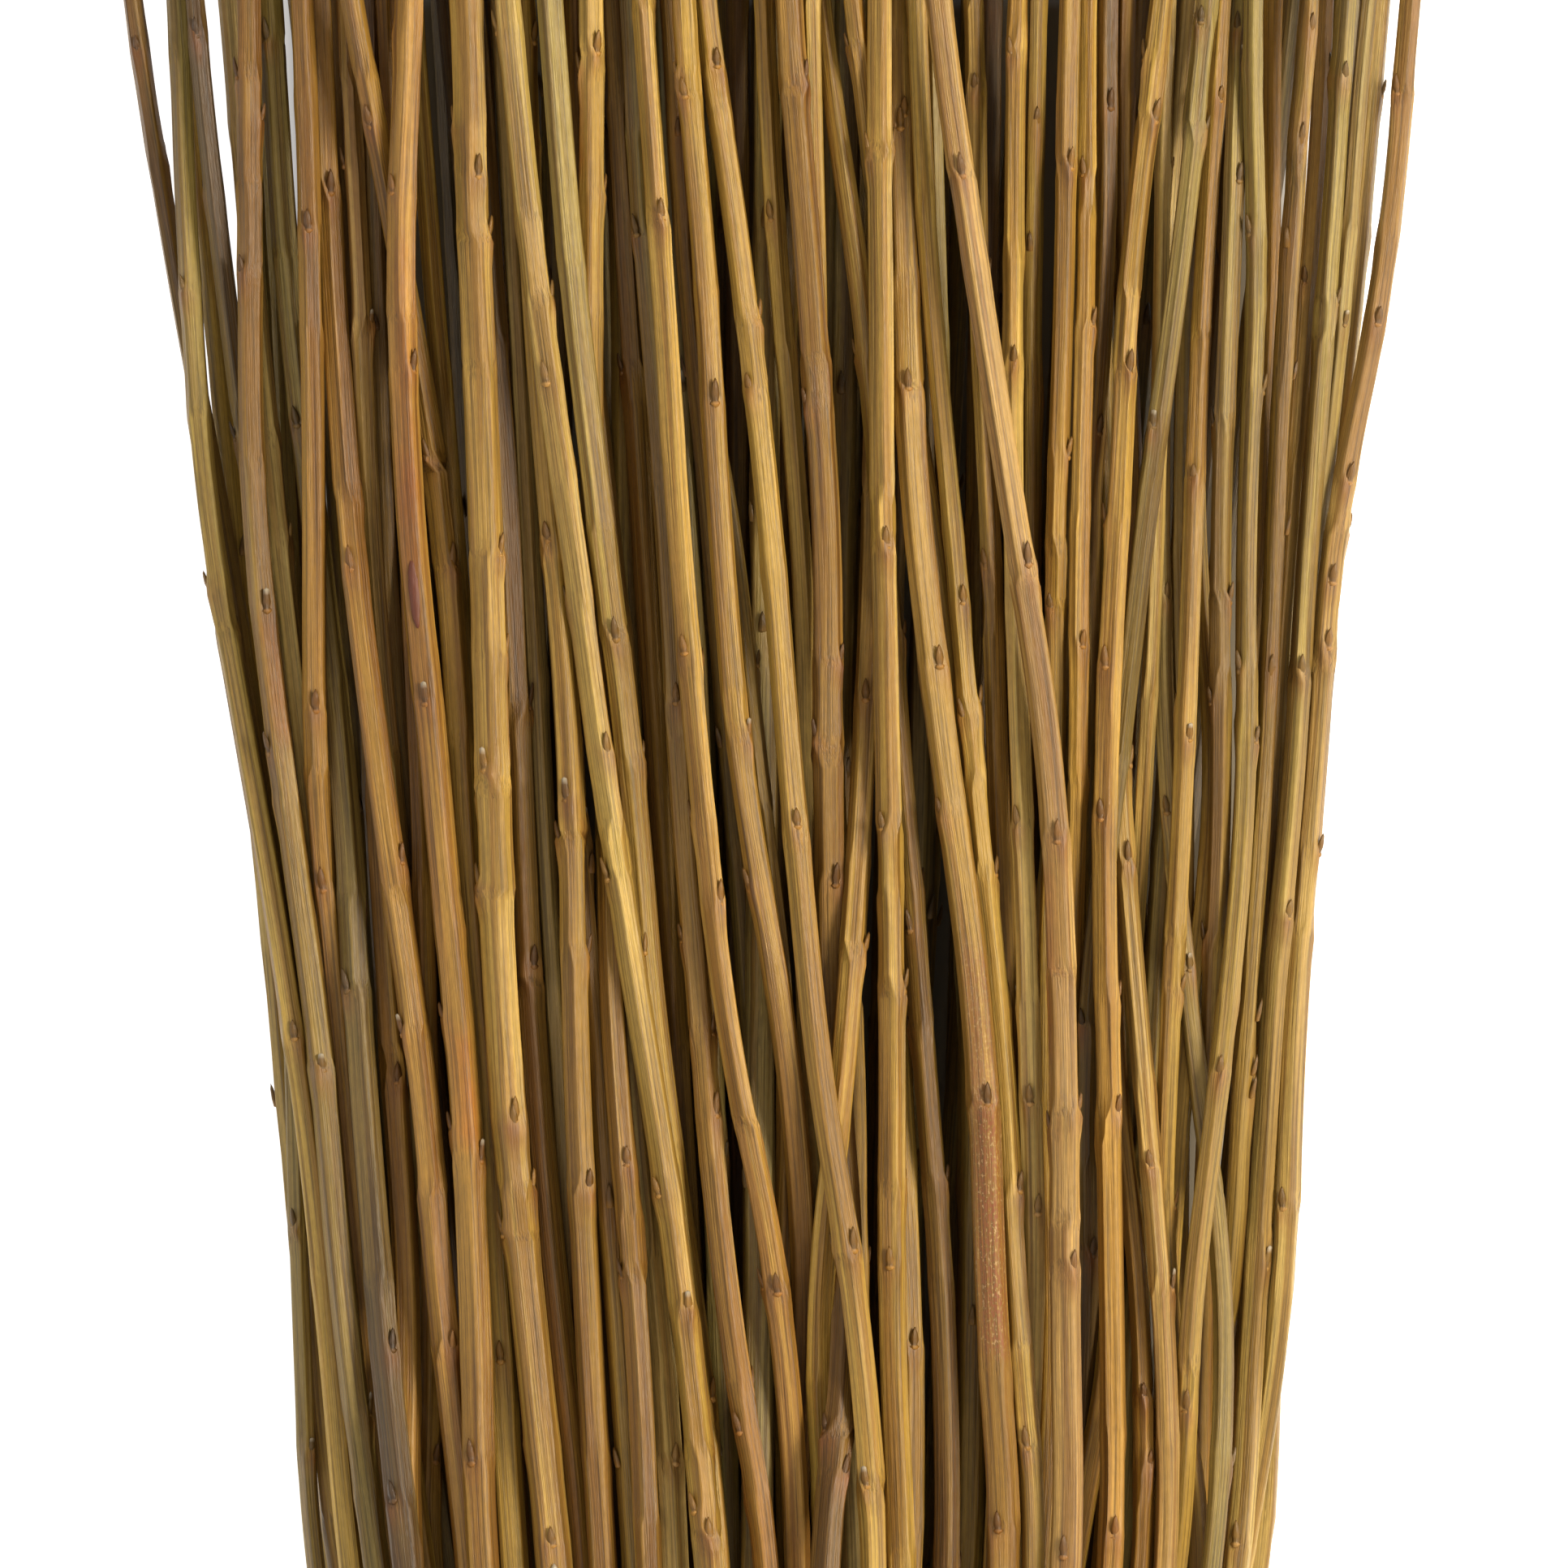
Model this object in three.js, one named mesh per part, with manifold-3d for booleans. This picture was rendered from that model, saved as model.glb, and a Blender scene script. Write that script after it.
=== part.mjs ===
// A tied bunch of bare, dried willow stems, lying on a surface.
// Millimetres, Z up. The stems run along Y, butts at -Y and tips at +Y, and the surface is z = 0.
// The twine's middle is at y = 0. The photo shows the stretch from y = 350 to y = 672 from above.
import * as THREE from "three";
import Module from "manifold-3d";

const wasm = await Module();
wasm.setup();

// Sizes along the bunch, mm.
const buttY = -110;
const buttSpread = 8;
const tipY = 1095;
const shortestTipY = 960;
const photoBottomY = 350;
const photoTopY = 672;
const photoMiddleY = (photoBottomY + photoTopY) / 2;

// Sizes across the bunch, mm: half width and half height of its oval section, and its middle's height.
const ovalAt = [
  { y: photoBottomY, halfWidth: 97, halfHeight: 38, middle: 37.5 },
  { y: photoTopY, halfWidth: 134.7, halfHeight: 37, middle: 36 },
  { y: tipY, halfWidth: 184, halfHeight: 30, middle: 29 },
];
const layerStep = 6.3;
const clearance = 0.3;

// The photo's scale: columns a millimetre, and the column over the middle of the bunch.
const columnsPerMm = 6;
const middleColumn = 952;

// Twine, mm.
const twineRadius = 1.5;
const twineTurns = 4;
const twinePitch = 3.1;
const twineSides = 6;
const segmentsPerTurn = 24;
const knotLoopRadius = 4.2;

const stemSides = 5;
const hiddenStemCount = 54;
const budRise = 0.42;
const bondShare = 0.74;

// A stem's diameter against its diameter in the middle of the photo.
function taper(y) {
  const beyond = Math.max(0, y - photoTopY);
  return 1 - 0.00045 * (y - photoMiddleY) - 1.6e-6 * beyond * beyond;
}

// Planes across the bunch that every stem's line is laid through. The photo's stretch has seven.
const planes = [-118, -30, 0, 30, 350, 403.7, 457.3, 511, 564.7, 618.3, 672, 880, 1095];
const tiePlane = 2;
const firstPhotoPlane = 4;
const lastPhotoPlane = 10;
const planeCount = planes.length;
const hiddenControls = [0, 1, 2, 3, 4, 10, 12];

// Stems measured by eye on the photo, left to right. Each row has the stem's column at seven levels
// from the photo's top edge to its bottom edge, its width in columns, and at each level how deep it
// lies: 0 over all others, 1 in front, 2 behind those, and so on.
const seenStems = [
  [[157, 209, 270, 318, 368, 408, 440], 26, "1222233"],
  [[218, 226, 252, 310, 365, 400, 430], 28, "1111111"],
  [[236, 270, 313, 357, 405, 440, 470], 26, "1123333"],
  [[280, 305, 338, 376, 412, 445, 478], 28, "2222233"],
  [[305, 304, 308, 349, 396, 422, 462], 32, "1111111"],
  [[329, 349, 384, 410, 434, 467, 512], 33, "2222111"],
  [[369, 383, 387, 398, 420, 446, 490], 30, "1111223"],
  [[393, 405, 427, 466, 514, 545, 583], 35, "2211111"],
  [[430, 443, 454, 478, 500, 520, 545], 26, "3222333"],
  [[452, 460, 472, 494, 512, 530, 556], 25, "3233333"],
  [[433, 491, 548, 567, 592, 613, 624], 32, "1222222"],
  [[506, 489, 504, 536, 568, 585, 597], 36, "1111111"],
  [[471, 480, 492, 515, 524, 522, 530], 26, "2332233"],
  [[536, 540, 552, 580, 600, 630, 650], 28, "3333333"],
  [[415, 430, 450, 470, 486, 504, 520], 30, "4333222"],
  [[300, 315, 335, 352, 365, 370, 380], 22, "3333211"],
  [[325, 335, 350, 362, 374, 386, 403], 27, "4443221"],
  [[405, 425, 455, 482, 500, 522, 548], 28, "4444333"],
  [[576, 583, 599, 606, 619, 650, 689], 42, "1111111"],
  [[596, 606, 628, 640, 655, 687, 716], 32, "3222222"],
  [[624, 655, 703, 745, 793, 845, 876], 34, "1111111"],
  [[645, 652, 680, 705, 709, 725, 744], 33, "2221111"],
  [[622, 630, 655, 667, 685, 700, 718], 28, "3333333"],
  [[677, 703, 738, 779, 803, 850, 885], 35, "1112222"],
  [[729, 727, 727, 735, 752, 781, 799], 31, "1223111"],
  [[706, 712, 745, 765, 778, 810, 836], 34, "2333221"],
  [[750, 765, 786, 815, 835, 862, 890], 30, "3333333"],
  [[792, 815, 836, 862, 899, 965, 992], 29, "1111112"],
  [[775, 795, 822, 838, 866, 894, 949], 29, "2222211"],
  [[755, 830, 912, 937, 965, 985, 1005], 24, "3332233"],
  [[827, 842, 875, 903, 930, 955, 980], 27, "2233333"],
  [[840, 868, 887, 915, 970, 1000, 1018], 30, "1111123"],
  [[866, 914, 949, 976, 1004, 1053, 1081], 31, "1111111"],
  [[941, 956, 985, 1000, 1012, 1030, 1045], 27, "2223333"],
  [[972, 997, 1019, 1025, 1022, 1018, 1012], 36, "1111221"],
  [[1001, 1008, 1012, 1020, 1030, 1040, 1050], 26, "1233333"],
  [[1003, 1057, 1090, 1112, 1138, 1164, 1188], 29, "2122222"],
  [[1090, 1085, 1078, 1060, 1045, 1032, 1022], 31, "3332223"],
  [[1082, 1084, 1088, 1096, 1100, 1097, 1103], 31, "1111111"],
  [[1095, 1092, 1090, 1096, 1106, 1122, 1146], 31, "4444321"],
  [[1106, 1109, 1127, 1170, 1214, 1225, 1243], 37, "2211111"],
  [[1052, 1098, 1156, 1188, 1228, 1245, 1262], 25, "1222333"],
  [[1126, 1140, 1174, 1200, 1240, 1256, 1281], 27, "2222221"],
  [[1150, 1157, 1166, 1180, 1195, 1205, 1215], 22, "2234444"],
  [[1154, 1200, 1250, 1300, 1312, 1312, 1314], 34, "0000000"],
  [[1201, 1207, 1222, 1228, 1240, 1262, 1275], 27, "2322333"],
  [[1253, 1249, 1247, 1258, 1265, 1272, 1280], 27, "1121123"],
  [[1278, 1273, 1270, 1276, 1280, 1290, 1296], 25, "1223344"],
  [[1318, 1314, 1302, 1300, 1285, 1286, 1292], 27, "1112233"],
  [[1339, 1339, 1330, 1329, 1320, 1318, 1318], 25, "2111344"],
  [[1489, 1455, 1410, 1378, 1338, 1322, 1326], 29, "1112233"],
  [[1368, 1366, 1358, 1350, 1348, 1345, 1350], 26, "2233333"],
  [[1388, 1386, 1390, 1395, 1400, 1410, 1415], 24, "2233322"],
  [[1409, 1408, 1400, 1402, 1405, 1400, 1395], 24, "3333333"],
  [[1433, 1394, 1377, 1360, 1365, 1372, 1375], 30, "1111111"],
  [[1440, 1433, 1428, 1416, 1405, 1398, 1396], 21, "2222333"],
  [[1345, 1352, 1360, 1379, 1406, 1439, 1444], 27, "3332111"],
  [[1466, 1440, 1432, 1442, 1475, 1517, 1510], 24, "2322211"],
  [[1485, 1468, 1450, 1446, 1450, 1456, 1462], 22, "3322333"],
  [[1512, 1489, 1471, 1461, 1441, 1432, 1430], 25, "2211123"],
  [[1500, 1485, 1475, 1466, 1460, 1450, 1452], 22, "4443233"],
  [[1523, 1515, 1505, 1508, 1482, 1486, 1472], 27, "2111233"],
  [[1543, 1553, 1537, 1532, 1506, 1464, 1456], 27, "1111112"],
  [[1570, 1568, 1556, 1548, 1548, 1536, 1512], 28, "3323333"],
  [[1618, 1590, 1576, 1561, 1534, 1532, 1502], 27, "1111123"],
  [[1636, 1617, 1591, 1569, 1556, 1545, 1520], 24, "3222334"],
  [[1662, 1642, 1616, 1597, 1569, 1550, 1520], 28, "1111122"],
  [[1688, 1662, 1634, 1606, 1582, 1560, 1524], 22, "1122333"],
  [[1707, 1678, 1641, 1614, 1588, 1566, 1528], 24, "2222233"],
  [[1742, 1715, 1645, 1625, 1594, 1576, 1524], 29, "1111113"],
];

// Seeded random draws, 0 to 1.
let drawState = 20713;
function draw() {
  drawState = (drawState * 1664525 + 1013904223) % 4294967296;
  return drawState / 4294967296;
}

const between = (low, high, share) => low + (high - low) * share;

// The bunch's oval section at y.
function oval(y) {
  const upper = Math.max(1, ovalAt.findIndex((row) => row.y >= y));
  const [from, to] = [ovalAt[upper - 1], ovalAt[upper]];
  const share = (y - from.y) / (to.y - from.y);
  return {
    halfWidth: between(from.halfWidth, to.halfWidth, share),
    halfHeight: between(from.halfHeight, to.halfHeight, share),
    middle: between(from.middle, to.middle, share),
  };
}

// A stem with its radius, place and wanted place at every plane, and how firmly it is held there.
function newStem(middleRadius, controls) {
  return {
    middleRadius,
    controls,
    radius: planes.map((y) => middleRadius * taper(y)),
    x: new Array(planeCount).fill(0),
    z: new Array(planeCount).fill(0),
    wantX: new Array(planeCount).fill(0),
    wantZ: new Array(planeCount).fill(0),
    holdX: new Array(planeCount).fill(0.1),
    holdZ: new Array(planeCount).fill(0.05),
    startY: between(buttY - buttSpread, buttY + buttSpread, draw()),
    endY: between(shortestTipY, tipY, Math.sqrt(draw())),
  };
}

function heightInLayer(x, y, layer, radius) {
  const { halfWidth, halfHeight, middle } = oval(y);
  const across = Math.min(0.96, Math.abs(x) / halfWidth);
  const rise = halfHeight * Math.sqrt(1 - across * across);
  return Math.max(middle + rise - radius - layer * layerStep, middle - rise + radius);
}

// A stem seen on the photo keeps its measured line there and runs on towards the tips.
function seenStem([columns, width, layers]) {
  const isDeep = [...layers].every((layer) => layer >= "3");
  const stem = newStem(width / columnsPerMm / 2, isDeep ? hiddenControls : planes.map((_, index) => index));
  for (let plane = firstPhotoPlane; plane <= lastPhotoPlane; plane += 1) {
    const level = lastPhotoPlane - plane;
    const layer = Number(layers[level]);
    stem.wantX[plane] = (columns[level] - middleColumn) / columnsPerMm;
    stem.wantZ[plane] = heightInLayer(stem.wantX[plane], planes[plane], layer, stem.radius[plane]);
    stem.holdX[plane] = layer <= 2 ? 0.3 : 0.05;
  }
  const slope = (stem.wantX[10] - stem.wantX[8]) / (planes[10] - planes[8]);
  for (const plane of [11, 12]) {
    const run = planes[plane] - photoTopY;
    const limit = 0.96 * oval(planes[plane]).halfWidth;
    const x = stem.wantX[lastPhotoPlane] * (1 + 0.00045 * run) + 0.55 * slope * run + (draw() - 0.5) * 14;
    stem.wantX[plane] = Math.min(limit, Math.max(-limit, x));
    stem.wantZ[plane] = heightInLayer(stem.wantX[plane], planes[plane], Number(layers[0]), stem.radius[plane]);
    stem.holdX[plane] = 0.02;
  }
  return stem;
}

// A stem under the seen ones: spread evenly over the oval below them, wandering a little.
function hiddenStem(index) {
  const stem = newStem(between(2.35, 3.3, draw()), hiddenControls);
  const angle = index * 2.39996;
  const reach = Math.sqrt((index + 0.5) / hiddenStemCount);
  const across = reach * Math.cos(angle);
  const chord = Math.sqrt(Math.max(0, 1 - across * across));
  const share = chord > 0.05 ? 0.5 + (0.5 * reach * Math.sin(angle)) / chord : 0.5;
  let wander = 0;
  for (let plane = firstPhotoPlane; plane < planeCount; plane += 1) {
    const y = planes[plane];
    const { halfWidth, halfHeight, middle } = oval(y);
    if (hiddenControls.includes(plane)) {
      wander += (draw() - 0.5) * 12;
    }
    const x = Math.max(-0.9, Math.min(0.9, across * 0.92 + wander / halfWidth)) * halfWidth;
    const rise = halfHeight * Math.sqrt(1 - (x / halfWidth) ** 2);
    const floorZ = Math.max(stem.radius[plane], middle - rise);
    const roofZ = Math.max(floorZ, middle + rise - 2.6 * layerStep);
    stem.wantX[plane] = x;
    stem.wantZ[plane] = between(floorZ, roofZ, share);
    stem.holdX[plane] = 0.03;
    stem.holdZ[plane] = 0.03;
  }
  return stem;
}

const stems = seenStems.map(seenStem);
for (let index = 0; index < hiddenStemCount; index += 1) {
  stems.push(hiddenStem(index));
}

// The lowest stem in each stretch of the bunch's width runs to the far end and lies on the surface.
const tipPlane = planeCount - 1;
const restingStems = [-110, -55, 0, 55, 110].map((x) => {
  const nearby = stems.slice(seenStems.length).filter((stem) => Math.abs(stem.wantX[tipPlane] - x) < 28);
  return nearby.reduce((best, stem) => (stem.wantZ[tipPlane] < best.wantZ[tipPlane] ? stem : best));
});
for (const stem of restingStems) {
  stem.endY = tipY;
}

// Where a stem's line moves by (dx, dz) at a share of the way between two planes, its nearest
// control planes move, and the planes between those stay on the straight line.
function moveLine(stem, plane, share, dx, dz) {
  let low = plane;
  let high = plane + 1;
  while (!stem.controls.includes(low)) {
    low -= 1;
  }
  while (!stem.controls.includes(high)) {
    high += 1;
  }
  const y = between(planes[plane], planes[plane + 1], share);
  const along = (y - planes[low]) / (planes[high] - planes[low]);
  const scale = 1 / (along * along + (1 - along) * (1 - along));
  stem.x[low] += dx * (1 - along) * scale;
  stem.z[low] += dz * (1 - along) * scale;
  stem.x[high] += dx * along * scale;
  stem.z[high] += dz * along * scale;
  straighten(stem, low, high);
}

function straighten(stem, low, high) {
  for (let plane = low + 1; plane < high; plane += 1) {
    const along = (planes[plane] - planes[low]) / (planes[high] - planes[low]);
    stem.x[plane] = between(stem.x[low], stem.x[high], along);
    stem.z[plane] = between(stem.z[low], stem.z[high], along);
  }
}

function straightenAll(stem) {
  for (let index = 1; index < stem.controls.length; index += 1) {
    straighten(stem, stem.controls[index - 1], stem.controls[index]);
  }
}

// The nearest that two lines come between two planes, as a share of the way and a gap vector.
function closest(first, second, plane) {
  const x0 = second.x[plane] - first.x[plane];
  const z0 = second.z[plane] - first.z[plane];
  const stepX = second.x[plane + 1] - first.x[plane + 1] - x0;
  const stepZ = second.z[plane + 1] - first.z[plane + 1] - z0;
  const length = stepX * stepX + stepZ * stepZ;
  const share = length > 1e-9 ? Math.min(1, Math.max(0, -(x0 * stepX + z0 * stepZ) / length)) : 0;
  return { share, x: x0 + stepX * share, z: z0 + stepZ * share };
}

// Packs the stems' sections into a round neck at the twine, by pulling them to its middle and
// pushing apart those that overlap. Bonded pairs are pulled into each other instead.
function packNeck(places, radii, bonded, rounds) {
  for (let round = 0; round < rounds; round += 1) {
    const pull = round < rounds * 0.7 ? 0.012 : 0;
    for (const place of places) {
      place.x -= place.x * pull;
      place.z -= place.z * pull;
    }
    for (let i = 0; i < places.length; i += 1) {
      for (let j = i + 1; j < places.length; j += 1) {
        const dx = places[j].x - places[i].x;
        const dz = places[j].z - places[i].z;
        const apart = Math.hypot(dx, dz) || 1e-6;
        const isBonded = bonded.has(`${i},${j}`);
        const wanted = isBonded ? bondShare * (radii[i] + radii[j]) : radii[i] + radii[j] + clearance;
        if (apart < wanted || isBonded) {
          const push = (0.5 * (wanted - apart)) / apart;
          places[i].x -= dx * push;
          places[i].z -= dz * push;
          places[j].x += dx * push;
          places[j].z += dz * push;
        }
      }
    }
  }
}

const neckRadii = stems.map((stem) => stem.radius[tiePlane]);
const neckSize = 52;
const loosePlaces = stems.map((stem) => {
  const { halfWidth, halfHeight, middle } = oval(photoBottomY);
  return {
    x: (stem.wantX[firstPhotoPlane] / halfWidth) * neckSize,
    z: ((stem.wantZ[firstPhotoPlane] - middle) / halfHeight) * neckSize + draw(),
  };
});
packNeck(loosePlaces, neckRadii, new Set(), 900);

// Sheaves: neighbours at the neck that the twine presses into each other, two to four together.
function gatherSheaves() {
  const near = stems.map((_, i) =>
    stems
      .map((_, j) => ({ j, gap: Math.hypot(loosePlaces[j].x - loosePlaces[i].x, loosePlaces[j].z - loosePlaces[i].z) }))
      .filter(({ j, gap }) => j !== i && gap < 1.12 * (neckRadii[i] + neckRadii[j]))
      .map(({ j }) => j),
  );
  const sheafOf = new Array(stems.length).fill(-1);
  const sheaves = [];
  const bonds = [];
  const free = (i) => near[i].filter((j) => sheafOf[j] < 0).length;
  const waiting = () => stems.map((_, i) => i).filter((i) => sheafOf[i] < 0);
  for (let rest = waiting(); rest.length > 0; rest = waiting()) {
    const start = rest.reduce((best, i) => (free(i) < free(best) ? i : best));
    const sheaf = [start];
    sheafOf[start] = sheaves.length;
    while (sheaf.length < 3) {
      const last = sheaf[sheaf.length - 1];
      const choices = near[last].filter((j) => sheafOf[j] < 0);
      if (choices.length === 0) {
        break;
      }
      const next = choices.reduce((best, j) => (free(j) < free(best) ? j : best));
      bonds.push([last, next]);
      sheafOf[next] = sheaves.length;
      sheaf.push(next);
    }
    const hosts = near[start].filter((j) => sheafOf[j] >= 0 && sheafOf[j] < sheaves.length);
    if (sheaf.length === 1 && hosts.length > 0) {
      const host = hosts.reduce((best, j) => (sheaves[sheafOf[j]].length < sheaves[sheafOf[best]].length ? j : best));
      sheafOf[start] = sheafOf[host];
      sheaves[sheafOf[host]].push(start);
      bonds.push([host, start]);
    } else {
      sheaves.push(sheaf);
    }
  }
  return { sheaves, bonds };
}

const { sheaves, bonds } = gatherSheaves();
const bonded = new Set(bonds.map(([i, j]) => `${Math.min(i, j)},${Math.max(i, j)}`));
const tightPlaces = loosePlaces.map((place) => ({ ...place }));
packNeck(tightPlaces, neckRadii, bonded, 700);
packNeck(loosePlaces, neckRadii, new Set(), 300);

// The twine's coil lies round the widest stems at the neck, and its lowest flats are at z = 0.
const neckReach = Math.max(
  ...[loosePlaces, tightPlaces].flatMap((places) =>
    places.map((place, i) => Math.hypot(place.x, place.z) + neckRadii[i]),
  ),
);
const coilRadius = neckReach + 0.6 + twineRadius;
const neckHeight = coilRadius * Math.cos(Math.PI / segmentsPerTurn) + twineRadius * Math.cos(Math.PI / twineSides);

stems.forEach((stem, i) => {
  const holds = [
    { plane: 0, place: loosePlaces[i], size: 1.06 },
    { plane: 1, place: loosePlaces[i], size: 1.015 },
    { plane: 2, place: tightPlaces[i], size: 1 },
    { plane: 3, place: loosePlaces[i], size: 1.005 },
  ];
  for (const { plane, place, size } of holds) {
    stem.wantX[plane] = place.x * size;
    stem.wantZ[plane] = neckHeight + place.z * size;
    stem.holdX[plane] = 0.5;
    stem.holdZ[plane] = 0.5;
  }
  stem.x = [...stem.wantX];
  stem.z = [...stem.wantZ];
  straightenAll(stem);
});

const isBondedPair = (i, j) => bonded.has(`${i},${j}`);
const lowest = Math.sin((54 * Math.PI) / 180);

function nearPairs(reach) {
  const pairs = [];
  for (let plane = 0; plane < planeCount - 1; plane += 1) {
    for (let i = 0; i < stems.length; i += 1) {
      for (let j = i + 1; j < stems.length; j += 1) {
        if ((plane === 1 || plane === 2) && isBondedPair(i, j)) {
          continue;
        }
        const gap = closest(stems[i], stems[j], plane);
        const sum = Math.max(stems[i].radius[plane] + stems[j].radius[plane], 0);
        if (Math.hypot(gap.x, gap.z) < sum + reach) {
          pairs.push([i, j, plane]);
        }
      }
    }
  }
  return pairs;
}

// Pushes overlapping stems apart, round after round, while each is drawn to its wanted place.
function settle(rounds, drawn) {
  let pairs = [];
  for (let round = 0; round < rounds; round += 1) {
    if (round % 12 === 0) {
      pairs = nearPairs(5);
    }
    const hold = drawn * (1 - round / rounds);
    for (const stem of stems) {
      for (const plane of stem.controls) {
        stem.x[plane] += (stem.wantX[plane] - stem.x[plane]) * stem.holdX[plane] * hold;
        stem.z[plane] += (stem.wantZ[plane] - stem.z[plane]) * stem.holdZ[plane] * hold;
      }
      straightenAll(stem);
    }
    for (const [i, j, plane] of pairs) {
      const gap = closest(stems[i], stems[j], plane);
      const first = between(stems[i].radius[plane], stems[i].radius[plane + 1], gap.share);
      const second = between(stems[j].radius[plane], stems[j].radius[plane + 1], gap.share);
      const apart = Math.hypot(gap.x, gap.z) || 1e-6;
      const missing = first + second + clearance - apart;
      if (missing > 0) {
        const dx = (gap.x / apart) * missing * 0.5;
        const dz = (gap.z / apart) * missing * 0.5;
        moveLine(stems[i], plane, gap.share, -dx, -dz);
        moveLine(stems[j], plane, gap.share, dx, dz);
      }
    }
    bonds.forEach(([i, j]) => pressTogether(stems[i], stems[j]));
    stems.forEach(holdInRing);
    for (const stem of stems) {
      for (const plane of stem.controls) {
        stem.z[plane] = Math.max(stem.z[plane], stem.radius[plane] * lowest);
      }
      if (restingStems.includes(stem)) {
        stem.z[tipPlane] = stem.radius[tipPlane] * lowest;
      }
      straightenAll(stem);
    }
  }
}

// Two stems of a sheaf are pressed into each other under the twine.
function pressTogether(first, second) {
  const dx = second.x[tiePlane] - first.x[tiePlane];
  const dz = second.z[tiePlane] - first.z[tiePlane];
  const apart = Math.hypot(dx, dz);
  const wanted = bondShare * (first.radius[tiePlane] + second.radius[tiePlane]);
  if (apart > wanted) {
    const push = (0.5 * (wanted - apart)) / apart;
    first.x[tiePlane] -= dx * push;
    first.z[tiePlane] -= dz * push;
    second.x[tiePlane] += dx * push;
    second.z[tiePlane] += dz * push;
  }
}

// The twine holds every stem inside its ring.
function holdInRing(stem) {
  const fromMiddle = Math.hypot(stem.x[tiePlane], stem.z[tiePlane] - neckHeight);
  const room = neckReach - stem.radius[tiePlane];
  if (fromMiddle > room) {
    stem.x[tiePlane] *= room / fromMiddle;
    stem.z[tiePlane] = between(neckHeight, stem.z[tiePlane], room / fromMiddle);
  }
}

settle(240, 1);
settle(360, 0);

// The stem's middle and radius at y.
function sectionAt(stem, y) {
  const plane = Math.min(planeCount - 2, planes.findLastIndex((level) => level <= y));
  const share = (y - planes[plane]) / (planes[plane + 1] - planes[plane]);
  return {
    x: between(stem.x[plane], stem.x[plane + 1], share),
    z: between(stem.z[plane], stem.z[plane + 1], share),
    radius: between(stem.radius[plane], stem.radius[plane + 1], share),
  };
}

// A closed five-sided rod through a stem's control planes, flat side down.
function rodMesh(stem) {
  const inner = stem.controls.map((plane) => planes[plane]).filter((y) => y > stem.startY + 5 && y < stem.endY - 20);
  const levels = [stem.startY, ...inner, stem.endY];
  const points = [];
  for (const y of levels) {
    const { x, z, radius } = sectionAt(stem, y);
    for (let side = 0; side < stemSides; side += 1) {
      const angle = ((-54 + (360 / stemSides) * side) * Math.PI) / 180;
      points.push(x + radius * Math.cos(angle), y, z + radius * Math.sin(angle));
    }
  }
  const faces = [];
  for (let ring = 0; ring < levels.length - 1; ring += 1) {
    for (let side = 0; side < stemSides; side += 1) {
      const a = ring * stemSides + side;
      const b = ring * stemSides + ((side + 1) % stemSides);
      faces.push(a, a + stemSides, b, b, a + stemSides, b + stemSides);
    }
  }
  const end = (levels.length - 1) * stemSides;
  for (let side = 1; side < stemSides - 1; side += 1) {
    faces.push(0, side, side + 1);
    faces.push(end, end + side + 1, end + side);
  }
  return solid(points, faces);
}

// Whether a point at y is clear of every other stem, and of the surface.
function isOpen(stem, x, y, z) {
  const isFree = (other) => {
    const section = sectionAt(other, Math.min(y, other.endY));
    return other === stem || Math.hypot(section.x - x, section.z - z) > section.radius + 0.5;
  };
  return z > 0.5 && stems.every(isFree);
}

// A place for a bud on one of a stem's flats, with open space in front of it.
function budSpot(stem) {
  for (let attempt = 0; attempt < 24; attempt += 1) {
    const y = between(60, stem.endY - 60, draw());
    const angle = ((54 + 72 * Math.floor(draw() * 5)) * Math.PI) / 180;
    const { x, z, radius } = sectionAt(stem, y);
    const peak = radius * (lowest + budRise);
    const clears = (reach) => isOpen(stem, x + reach * Math.cos(angle), y, z + reach * Math.sin(angle));
    if (clears(peak) && (clears(peak + 6) || z < 10)) {
      return { y, angle };
    }
  }
  return null;
}

// A bud: a low pointed hull with its root in the stem, its point towards the tips.
function budMesh(stem, { y, angle }) {
  const { radius } = sectionAt(stem, y);
  const shape = [
    { along: -0.7, aside: 0, out: lowest - 0.28 },
    { along: 0.6, aside: -0.55, out: lowest - 0.28 },
    { along: 3, aside: 0, out: lowest - 0.28 },
    { along: 0.6, aside: 0.55, out: lowest - 0.28 },
    { along: 0.6, aside: 0, out: lowest + budRise },
  ];
  const points = shape.flatMap(({ along, aside, out }) => {
    const level = y + along * radius;
    const { x, z } = sectionAt(stem, level);
    const pointX = x + radius * (out * Math.cos(angle) - aside * Math.sin(angle));
    const pointZ = z + radius * (out * Math.sin(angle) + aside * Math.cos(angle));
    return [pointX, level, pointZ];
  });
  return solid(points, [0, 2, 1, 0, 3, 2, 0, 1, 4, 1, 2, 4, 2, 3, 4, 3, 0, 4]);
}

// A stem with its bud, where one fits.
function stemMesh(stem) {
  const spot = budSpot(stem);
  return spot ? rodMesh(stem).add(budMesh(stem, spot)) : rodMesh(stem);
}

function solid(points, faces) {
  return new wasm.Manifold(
    new wasm.Mesh({
      numProp: 3,
      vertProperties: Float32Array.from(points),
      triVerts: Uint32Array.from(faces),
    }),
  );
}

function geometryFromSolid(body) {
  const { vertProperties, triVerts } = body.getMesh();
  const geometry = new THREE.BufferGeometry();
  geometry.setAttribute("position", new THREE.BufferAttribute(vertProperties, 3));
  geometry.setIndex(new THREE.BufferAttribute(triVerts, 1));
  geometry.computeVertexNormals();
  return geometry;
}

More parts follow.
